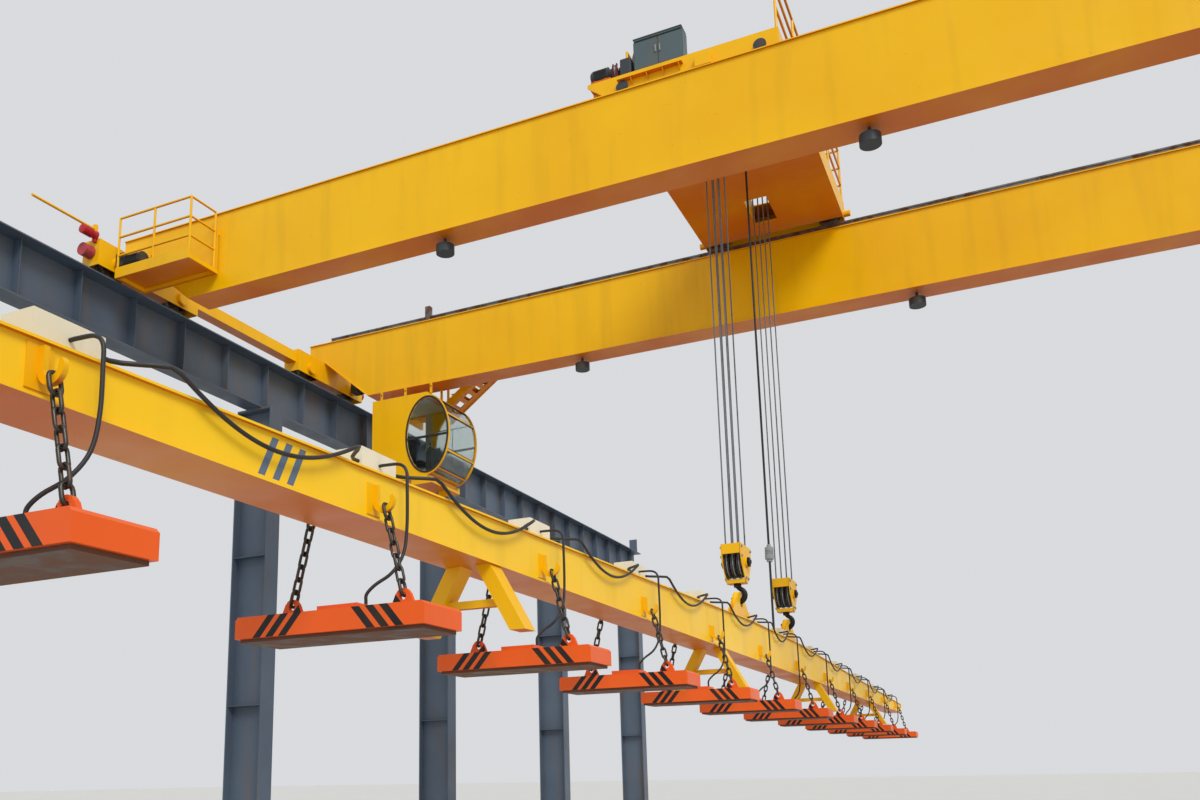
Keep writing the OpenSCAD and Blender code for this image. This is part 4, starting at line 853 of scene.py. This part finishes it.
# At a height z above its middle an ellipse is a * sqrt(1 - (z / b)^2) wide to either side
half, high = [window_x * math.sqrt(1 - (z / window_z) ** 2) for z in (0.06, 0.46)]
bars = []
for y in (cab_near + 0.004, cab_far - 0.004):
    bars.append(slab((cab_front - half, y - 0.01, cab_mid - 0.08), (cab_front + half, y + 0.01, cab_mid - 0.03)))
bar_near, bar_far = cab_far - 0.056, cab_far - 0.046
bars.append(slab((cab_front - high, bar_near, cab_mid + 0.45), (cab_front + 0.3, bar_far, cab_mid + 0.47)))
bars.append(slab((cab_front - 0.06, bar_near, cab_mid - 0.06), (cab_front - 0.045, bar_far, cab_mid + 0.46)))
piece("window_seals", together([seals] + bars), seal_rubber, "bridge", "seat_plastic", sharp=50)

# %% [markdown]
# ## Edge strips and lining
#
# The curved front is glazed between cross bars, and a black strip seals the glass along both edges of each bar.
# Inside, the walls and the roof are lined with grey-green sheet.

# %% Edge strips and lining
strips = []
nose_x, nose_z = 0.53, 0.88
for t in (-62, -28, 28, 60):
    cos_t, sin_t = math.cos(math.radians(t)), math.sin(math.radians(t))
    lean = math.atan2(nose_x * sin_t, nose_z * cos_t)
    out = np.array([math.cos(lean), 0, math.sin(lean)])
    along_bar = np.array([-math.sin(lean), 0, math.cos(lean)])
    start = np.array([cab_front + nose_x * cos_t, 0, cab_mid + nose_z * sin_t])
    for e in sides:
        strip_section = ((0.002, 0.023), (0.02, 0.023), (0.02, 0.037), (0.002, 0.037))
        ring = np.array([start + out * u + along_bar * e * w for u, w in strip_section])
        strips.append(joined_rings(np.stack([ring + (0, y, 0) for y in (cab_near + 0.03, cab_far - 0.03)])))
piece("front_glass_strips", together(strips), seal_rubber, "bridge", "seat_plastic")
cab_back, far_start, wall_front = -12.44, -11.84, -11.66
lining_low, lining_high = 8.05, 9.88
inner_near, inner_far = cab_near + 0.05, cab_far - 0.05
lining = [slab((-12.4597, inner_near, lining_low), (-12.45, inner_far, 9.89))]
lining.append(slab((cab_back, inner_near, 9.885), (-11.2, inner_far, 9.8997)))
lining.append(slab((far_start, inner_far, lining_low), (wall_front, cab_far - 0.0403, lining_high)))
lining.append(slab((cab_back, cab_near + 0.0403, lining_low), (wall_front, inner_near, lining_high)))
piece("cab_lining", together(lining), lining_grey, "bridge", "cabinet_grey")
cap = turned([(0, 0.0), (0, 0.016), (0.01, 0.016), (0.012, 0.012), (0.012, 0.0)], (0, 0, 0), (0, -1, 0), 6)
hanger_xy = [(x, bridge_y + y) for x in (-12.44, -11.81, -11.14) for y in (2.57, 3.03)]
caps = copies(cap, [(x, y, z) for z in (10.0, 10.17) for x, y in hanger_xy])
piece("hanger_bolts", caps, forged_black, "bridge", "hook_black", merge=True, sharp=30)

# %% [markdown]
# ## The driver's seat
#
# The seat has a base cushion and a back cushion in black vinyl, foam filled, on a turned pedestal. A cushion is two
# crowned panels sewn together along their edge. Its half thickness is h * sqrt((1 - u^4) * (1 - v^4)) with u and v
# from -1 to 1, its sides pull in between the corners, and sewn channels press shallow grooves into the crown.


# %% Seat
def cushion(size, centre, thick_axis, channels=2):
    """Two crowned panels over the square -1..1, joined along their edge."""
    s = np.linspace(-1, 1, 41)
    s = np.sign(s) * np.abs(s) ** 0.75
    u, v = np.meshgrid(s, s, indexing="ij")
    pull = 1 - 0.035 * (1 - v**2) * np.abs(u) ** 6
    pull_v = 1 - 0.035 * (1 - u**2) * np.abs(v) ** 6
    crown = np.sqrt(np.clip((1 - u**4) * (1 - v**4), 0, 1)) ** 0.7
    groove = 1 - 0.16 * sum(np.exp(-(((v - c) / 0.035) ** 2)) for c in np.linspace(-1, 1, channels + 2)[1:-1])
    flat = [size[0] / 2 * u * pull, size[1] / 2 * v * pull_v]
    n = len(s)
    i, j = np.meshgrid(np.arange(n - 1), np.arange(n - 1), indexing="ij")
    quads = np.stack([i * n + j, (i + 1) * n + j, (i + 1) * n + j + 1, i * n + j + 1], -1).reshape(-1, 4)
    shells = []
    for sign, form in ((1, crown * groove), (-1, crown * 0.8)):
        axes = flat + [sign * size[2] / 2 * form]
        order = {2: (0, 1, 2), 0: (2, 1, 0)}[thick_axis]
        points = np.stack([axes[k] for k in order], -1).reshape(-1, 3) + np.asarray(centre)
        shells.append((points, quads if sign > 0 else quads[:, ::-1]))
    return together(shells)


seat_x = cab_front - 0.58
seat_y = (cab_near + cab_far) / 2
seat_floor = 8.04
base = cushion((0.47, 0.46, 0.1), (seat_x, seat_y, seat_floor + 0.475), 2)
rest = cushion((0.62, 0.44, 0.095), (seat_x - 0.21, seat_y, seat_floor + 0.83), 0, 3)
for name, shell in (("seat_cushion", base), ("seat_back_cushion", rest)):
    piece(name, shell, seat_vinyl, "bridge", "seat_plastic", ["cab_seat"], merge=True, sharp=60)
pedestal = [(0, 0), (0, 0.16), (0.012, 0.17), (0.02, 0.165), (0.03, 0.07), (0.05, 0.06), (0.3, 0.06), (0.3, 0.045)]
pedestal += [(0.4, 0.045), (0.4, 0.12), (0.425, 0.14), (0.43, 0.0)]
pedestal = turned(pedestal, (seat_x, seat_y, seat_floor + 0.0005), (0, 0, 1), 32)
column = slab((seat_x - 0.255, seat_y - 0.03, seat_floor + 0.41), (seat_x - 0.24, seat_y + 0.03, seat_floor + 1.0))
seat_stand = together([pedestal, column])
piece("seat_pedestal", seat_stand, machine_grey, "bridge", "drive_paint", ["cab_seat"], merge=True, sharp=40)

# %% Control desks
desk = [(0.37, 0.0), (0.49, 0.0), (0.5, 0.02), (0.5, 0.7), (0.47, 0.755), (0.4, 0.7), (0.36, 0.62), (0.36, 0.02)]
desk = plate([(seat_x + x, seat_floor + z) for x, z in desk], seat_y - 0.3, seat_y + 0.3, 1)
stick = [(0, 0), (0, 0.03), (0.02, 0.022), (0.03, 0.007), (0.1, 0.006), (0.11, 0.018), (0.14, 0.02), (0.155, 0.012)]
desk_top = (seat_x + 0.43, seat_y, seat_floor + 0.715)
stick = turned(stick + [(0.158, 0)], desk_top, (-0.15, 0, 1), 16)
levers = copies(stick, [(0, y, 0) for y in (-0.2, 0.2)])
piece("control_desk", desk, console_grey, "bridge", "seat_plastic", ["cab_seat"], bevel=0.006)
piece("control_levers", levers, seal_rubber, "bridge", "seat_plastic", ["cab_seat"], merge=True)

# %% [markdown]
# ## The stair's soffit
#
# The stair down to the cab is closed below by a sheet with a row of slots cut out between its treads. The sheet is
# made of two strips along the slope and the bars that are left between the slots.

# %% Stair soffit
stair_low = np.array([-11.6, 0, 9.84])
stair_high = np.array([-10.1, 0, 10.89])
slope = unit(stair_high - stair_low)
upward = np.cross(slope, (0, 1, 0))
run = float(np.linalg.norm(stair_high - stair_low))


def sloped_box(s0, s1, y0, y1, t0=0.0, t1=0.006):
    """A box on the stair's slope, from s0 to s1 along it and from t0 to t1 across it."""
    ends = [stair_low + slope * s for s in (s0, s1)]
    rings = [[end + (0, y, 0) - upward * t for y, t in ((y0, t0), (y1, t0), (y1, t1), (y0, t1))] for end in ends]
    return joined_rings(np.array(rings))


stair_near = bridge_y + 3.618
stair_far = bridge_y + 4.202
strip, bar, ends = 0.17, 0.11, 0.1
soffit = [sloped_box(ends, run - ends / 2, stair_near + stand_off, stair_near + strip)]
soffit.append(sloped_box(ends, run - ends / 2, stair_far - strip, stair_far - stand_off))
for s in np.linspace(ends, run - 0.16, 7):
    soffit.append(sloped_box(s, s + bar, stair_near + strip - stand_off, stair_far - strip + stand_off))
piece("stair_soffit", together(soffit), yellow, "bridge", "crane_paint", sharp=30)

# %% [markdown]
# ## The crab's cabinet and ledge
#
# The switch cabinet has two doors that stand proud of its front, each with a handle, and a lid that laps over the
# sides. Below it a narrow ledge on ribs runs along the crab's side for whoever opens the doors.

# %% Cabinet
crab_deck = 12.3
crab_side = 2.745


def on_deck(low, high):
    """A box given from the crab's middle, with its heights above the deck."""
    return slab(at_crab(*low) + (0, 0, crab_deck), at_crab(*high) + (0, 0, crab_deck))


cabinet = [on_deck((-0.9, -2.7, stand_off), (-0.1, -2.485, 0.52))]
cabinet.append(on_deck((-0.895, -2.735, 0.545), (-0.105, -2.49, 0.56)))
cabinet.append(on_deck((-0.885, -2.725, 0.519), (-0.115, -2.5, 0.546)))
cabinet += [on_deck((x, -2.712, 0.03), (x + 0.375, -2.699, 0.5)) for x in (-0.885, -0.49)]
piece("switch_cabinet", together(cabinet), cabinet_grey, "crab", "cabinet_grey", ["crab_cabinet"], bevel=0.003)
handles = []
for x in (-0.535, -0.465):
    handles.append(on_deck((x - 0.012, -2.73, 0.24), (x + 0.012, -2.722, 0.36)))
    handles += [on_deck((x - 0.008, -2.723, z), (x + 0.008, -2.711, z + 0.02)) for z in (0.25, 0.33)]
piece("cabinet_handles", together(handles), zinc, "crab", "wheel_steel", bevel=0.002)

# %% Crab ledge, bracket and dark discs over the axle bores
ledge_root, ledge_edge, ledge_z = -crab_side - stand_off, -2.835, 12.17
ledge = [slab(at_crab(-1.15, ledge_edge, ledge_z), at_crab(-0.1, ledge_root, ledge_z + 0.016))]
rib = [(ledge_root, 0), (ledge_edge + 0.01, 0), (ledge_edge + 0.01, -0.02), (ledge_root, -0.1)]
rib = [(bridge_y + y, ledge_z + z) for y, z in rib]
ledge += [plate(rib, crab_x + x, crab_x + x + 0.012, 0) for x in np.linspace(-0.93, -0.16, 4)]
ledge.append(slab(at_crab(0.1, ledge_edge, 11.99), at_crab(0.35, ledge_root, 12.2)))
piece("crab_ledge", together(ledge), yellow, "crab", "crane_paint", bevel=0.002)
# Dark grey discs close the axle bores on both sides of the crab, painted shade for the shade inside the bores
crab_axle_x, crab_axle_z = 1.075, 12.0603
cover = [(0, 0.0), (0, 0.1), (0.012, 0.1), (0.016, 0.095), (0.016, 0.06), (0.022, 0.055), (0.022, 0.0)]
cover = turned(cover, (0, 0, 0), (0, 1, 0), 40)
covers = copies(cover, [at_crab(s * crab_axle_x, crab_side + 0.0403, crab_axle_z) for s in sides])
covers = mirrored(covers, 1, bridge_y)
piece("axle_bore_shade_discs", covers, machine_grey, "crab", "drive_paint", merge=True, sharp=30)

# %% [markdown]
# ## Motors
#
# An electric motor's barrel is cast with long cooling fins, and a smooth sheet steel cowl covers its fan. Each fin is
# a thin box that stands on the barrel, turned round the motor's axis.


# %% Motor fins
def fins(start, axis, length, radius, height, count, thick=0.006):
    """count thin boxes round an axis, from radius - 4 mm to radius + height."""
    axis = np.asarray(axis, float)
    first = unit(np.cross(axis, (0, 0, 1.0)))
    second = np.cross(axis, first)
    angle = (np.arange(count) + 0.5) * 2 * np.pi / count
    out = np.cos(angle)[:, None] * first + np.sin(angle)[:, None] * second
    across = np.cross(axis, out)
    corners = []
    for along in (0.0, length):
        for r, w in ((radius - 0.004, -1), (radius - 0.004, 1), (radius + height, 1), (radius + height, -1)):
            corners.append(np.asarray(start) + axis * along + out * r + across * w * thick / 2)
    rings = np.stack(corners, 1).reshape(count, 2, 4, 3)
    return together([joined_rings(ring) for ring in rings])


travel_x, travel_y, travel_z, travel_r = 13.786, 3.65, 10.9203, 0.12
places = [(s, e) for s in sides for e in sides]
travel_starts = [(s * travel_x, bridge_y + e * travel_y, travel_z) for s, e in places]
travel_fins = [fins(start, (-s, 0, 0), 0.3, travel_r, 0.012, 24) for start, (s, e) in zip(travel_starts, places)]
piece("travel_motor_fins", together(travel_fins), machine_grey, "bridge", "drive_paint")
hoist_x, hoist_z, hoist_r = 0.79, 12.55, 0.19
cowl = [(0, hoist_r), (0, 0.212), (0.1, 0.212), (0.14, 0.19), (0.145, 0.12), (0.145, 0.0)]
hoist_motors = [fins(at_crab(hoist_x, s * 1.11, hoist_z), (0, s, 0), 0.5, hoist_r, 0.018, 32, 0.008) for s in sides]
hoist_motors += [turned(cowl, at_crab(hoist_x, s * 1.62, hoist_z), (0, s, 0), 40) for s in sides]
piece("hoist_motor_fins", together(hoist_motors), machine_grey, "crab", "drive_paint", sharp=40)

# %% [markdown]
# ## The crab's travel drive
#
# At the crab's front left corner an orange sheet steel bracket carries the motor with its round end, and beside it the
# brake with its wine red callipers and bright ring.

# %% Crab travel drive
drive = at_crab(-1.35, -2.605, crab_deck)
barrel = [(0, 0.0), (0, 0.05), (0.012, 0.09), (0.035, 0.11), (0.06, 0.118), (0.07, 0.12), (0.075, 0.12), (0.075, 0.106)]
barrel += [(0.29, 0.106), (0.29, 0.12), (0.31, 0.12), (0.31, 0.08), (0.37, 0.08), (0.37, 0.0)]
motor_start = drive + (-0.3, 0, 0.17)
motor = turned(barrel, motor_start, (1, 0, 0), 40)
motor_ribs = fins(motor_start + (0.085, 0, 0), (1, 0, 0), 0.2, 0.106, 0.013, 28)
gear = slab(drive + (0.22, -0.11, stand_off), drive + (0.4, 0.11, 0.3))
piece("crab_motor", together([motor, motor_ribs]), machine_grey, "crab", "drive_paint", ["crab_travel_drive"], sharp=35)
piece("crab_gear_box", gear, machine_grey, "crab", "drive_paint", ["crab_travel_drive"], bevel=0.015)
disc = turned([(0, 0.03), (0, 0.118), (0.012, 0.118), (0.012, 0.03)], motor_start + (0.42, 0, 0), (1, 0, 0), 40)
jaw = [(0.02, 0.02), (0.09, 0.02), (0.115, 0.1), (0.115, 0.2), (0.085, 0.28), (0.04, 0.28), (0.075, 0.2), (0.075, 0.1)]
jaw_line = np.array(jaw) + (0, drive[2])
jaws = []
for e in sides:
    lever = jaw_line * (e, 1) + (drive[1], 0)
    jaws += [plate(lever, drive[0] + x, drive[0] + x + 0.016, 0) for x in (0.09, 0.15)]
piece("brake_callipers", together(jaws), brake_red, "crab", "signal_red", ["crab_travel_drive"])
ring = swept(arc(drive + (0.135, 0, 0.17), 0.1, 0, 345, 24, (0, 1, 0), (0, 0, 1)), circle(0.009, 8), (1, 0, 0))
piece("brake_disc", together([disc, ring]), zinc, "crab", "wheel_steel", ["crab_travel_drive"], sharp=40)
leaves = ((stand_off, 0.01), (0.05, 0.06))
bracket = [slab(drive + (-0.28, -0.1, low), drive + (0.06, 0.1, high)) for low, high in leaves]
bracket += [slab(drive + (-0.28, y, 0.01), drive + (0.06, y + 0.012, 0.05)) for y in (-0.1, 0.088)]
bracket += [slab(drive + (x, -0.09, 0.06), drive + (x + 0.05, 0.09, 0.075)) for x in (-0.24, -0.06)]
piece("motor_bracket", together(bracket), pedestal_orange, "crab", "crane_paint", ["crab_travel_drive"], bevel=0.003)

# %% [markdown]
# ## The siren
#
# The siren is a red barrel with cooling ribs and a flared mouth, on two bent plates. A lathe profile gives the ribs.

# %% Siren
siren_length = 0.33
siren_start = np.array([-14.14, bridge_y - 4.1 - siren_length, 11.32])
ribs = [(0, 0), (0, 0.06), (0.01, 0.084), (0.03, 0.085), (0.04, 0.075)]
for start in np.arange(0.06, 0.24, 0.03):
    ribs += [(start, 0.075), (start + 0.002, 0.084), (start + 0.01, 0.084), (start + 0.012, 0.075)]
ribs += [(0.25, 0.075), (0.262, 0.07), (0.3, 0.084), (0.32, 0.085), (0.32, 0.072), (0.29, 0.05), (0.29, 0.0)]
siren = [turned(ribs, siren_start, (0, 1, 0), 32)]
siren_foot = siren_start + (0, siren_length, -0.06)
siren.append(slab(siren_foot + (-0.03, -0.06, -0.08), siren_foot + (0.03, -stand_off, 0.02)))
piece("ribbed_siren", together(siren), signal_red, "bridge", "signal_red", ["siren"], sharp=30)

# %% [markdown]
# ## Rail clips and nuts
#
# Bolted clips hold the rails every 0.75 m. Each is a base plate beside the rail's foot, a top plate that laps over it
# and a bolt head. They are repeated hundreds of times, so a clip has only a few dozen faces. A nut on both ends of
# each hook block's axle closes the work.


# %% Rail clips
def rail_clip(foot_half, along=0.035):
    """A clip on the rail's outer side, with the rail along Y and the foot's edge at foot_half."""
    base = [(0.0015, 0.0), (0.076, 0.0), (0.076, 0.017), (0.0015, 0.017)]
    top = [(-0.01, 0.0218), (0.066, 0.0172), (0.066, 0.028), (-0.01, 0.033)]
    base, top = [[(foot_half + out, up) for out, up in side] for side in (base, top)]
    head = turned([(0, 0.0), (0, 0.02), (0.015, 0.02), (0.015, 0.0)], (foot_half + 0.036, 0, 0.03), (0, 0, 1), 6)
    return together([plate(base, -along, along, 1), plate(top, -along, along, 1), head])


clip_pitch = 0.75
runway_x, runway_foot_z = 14.25, 10.54
clip = rail_clip(0.064)
rows = [(s * runway_x, y, runway_foot_z) for s in sides for y in np.arange(-18.75, 18.8, clip_pitch)]
clips = copies(mirrored(clip, 0), rows)
piece("runway_rail_clips", clips, zinc, "runway", "rail_steel", merge=True, sharp=30)
# The crab's rails run along X, so there x and y change places, and no clip stands where the end stops are
crab_rail_y, crab_foot_z = 2.63, 11.76
end_stops = np.array([-11.24, 13.14])
points, faces = rail_clip(0.048)
stations = [x for x in np.arange(-13.5, 13.6, clip_pitch) if np.abs(end_stops - x).min() > 0.12]
clips = copies((points[:, [1, 0, 2]], faces), [(x, bridge_y + crab_rail_y, crab_foot_z) for x in stations])
clips = mirrored(clips, 1, bridge_y)
piece("crab_rail_clips", clips, zinc, "bridge", "rail_steel", merge=True, sharp=30)
print("clip faces", len(clip[1]))

# %% Axle nuts
nut = [(0, 0.0), (0, 0.075), (0.03, 0.075), (0.034, 0.07), (0.034, 0.035), (0.05, 0.032), (0.05, 0.0)]
nut = turned(nut, (0, 0, 0), (1, 0, 0), 6)
boss_face = cheek_face + 0.024
nuts = copies(nut, [at_crab(boss_face - 0.0005, s * hook_y, block_sheave_z) for s in sides])
nuts = mirrored(nuts, 0, crab_x)
piece("block_axle_nuts", nuts, forged_black, "load", "hook_black", merge=True, sharp=30)

# %% [markdown]
# ## Light and floor
#
# The hall is lit from above by long roof lights, so a broad soft sun from above and a bright even sky do most of the
# work. The pale floor throws some light back up under the girders.

# %% Floor, lamps and sky
floor_mesh = bpy.data.meshes.new("floor")
reach, below = 300, -0.002
corners = [(-reach, -reach, below), (reach, -reach, below), (reach, reach, below), (-reach, reach, below)]
floor_mesh.from_pydata(corners, [], [(0, 1, 2, 3)])
floor = bpy.data.objects.new("floor", floor_mesh)
bpy.context.scene.collection.objects.link(floor)
screed, put = new_finish("pale_screed")
cloudy = put("TexNoise", {"Vector": put("TexCoord", output="Object"), "Scale": 0.6, "Detail": 5})
pale = coloured(put, linear("#d3d0ca"), [(cloudy, linear("#c6c3bd"))])
put("OutputMaterial", [put("BsdfPrincipled", {"Base Color": pale, "Roughness": 0.8})])
floor_mesh.materials.append(screed)

world = bpy.data.worlds.new("soft_sky")
world.use_nodes = True
world.node_tree.nodes.clear()
put = partial(add, world.node_tree)
seen = put("LightPath", output="Is Camera Ray")
for way in ("Is Glossy Ray", "Is Transmission Ray"):
    seen = put("Math", [seen, put("LightPath", output=way)], operation="MAXIMUM")
sky_colour = coloured(put, linear("#dfe4ea"), [(seen, linear("#e9ebee"))])
put("OutputWorld", [put("Background", {"Color": sky_colour, "Strength": 0.85})])
bpy.context.scene.world = world

sun_data = bpy.data.lights.new("roof_light", "SUN")
sun_data.energy = 2.0
sun_data.angle = math.radians(25)
sun = bpy.data.objects.new("roof_light", sun_data)
sun.rotation_euler = (math.radians(46), 0, math.radians(48))
bpy.context.scene.collection.objects.link(sun)
bpy.context.scene.view_settings.view_transform = "Standard"
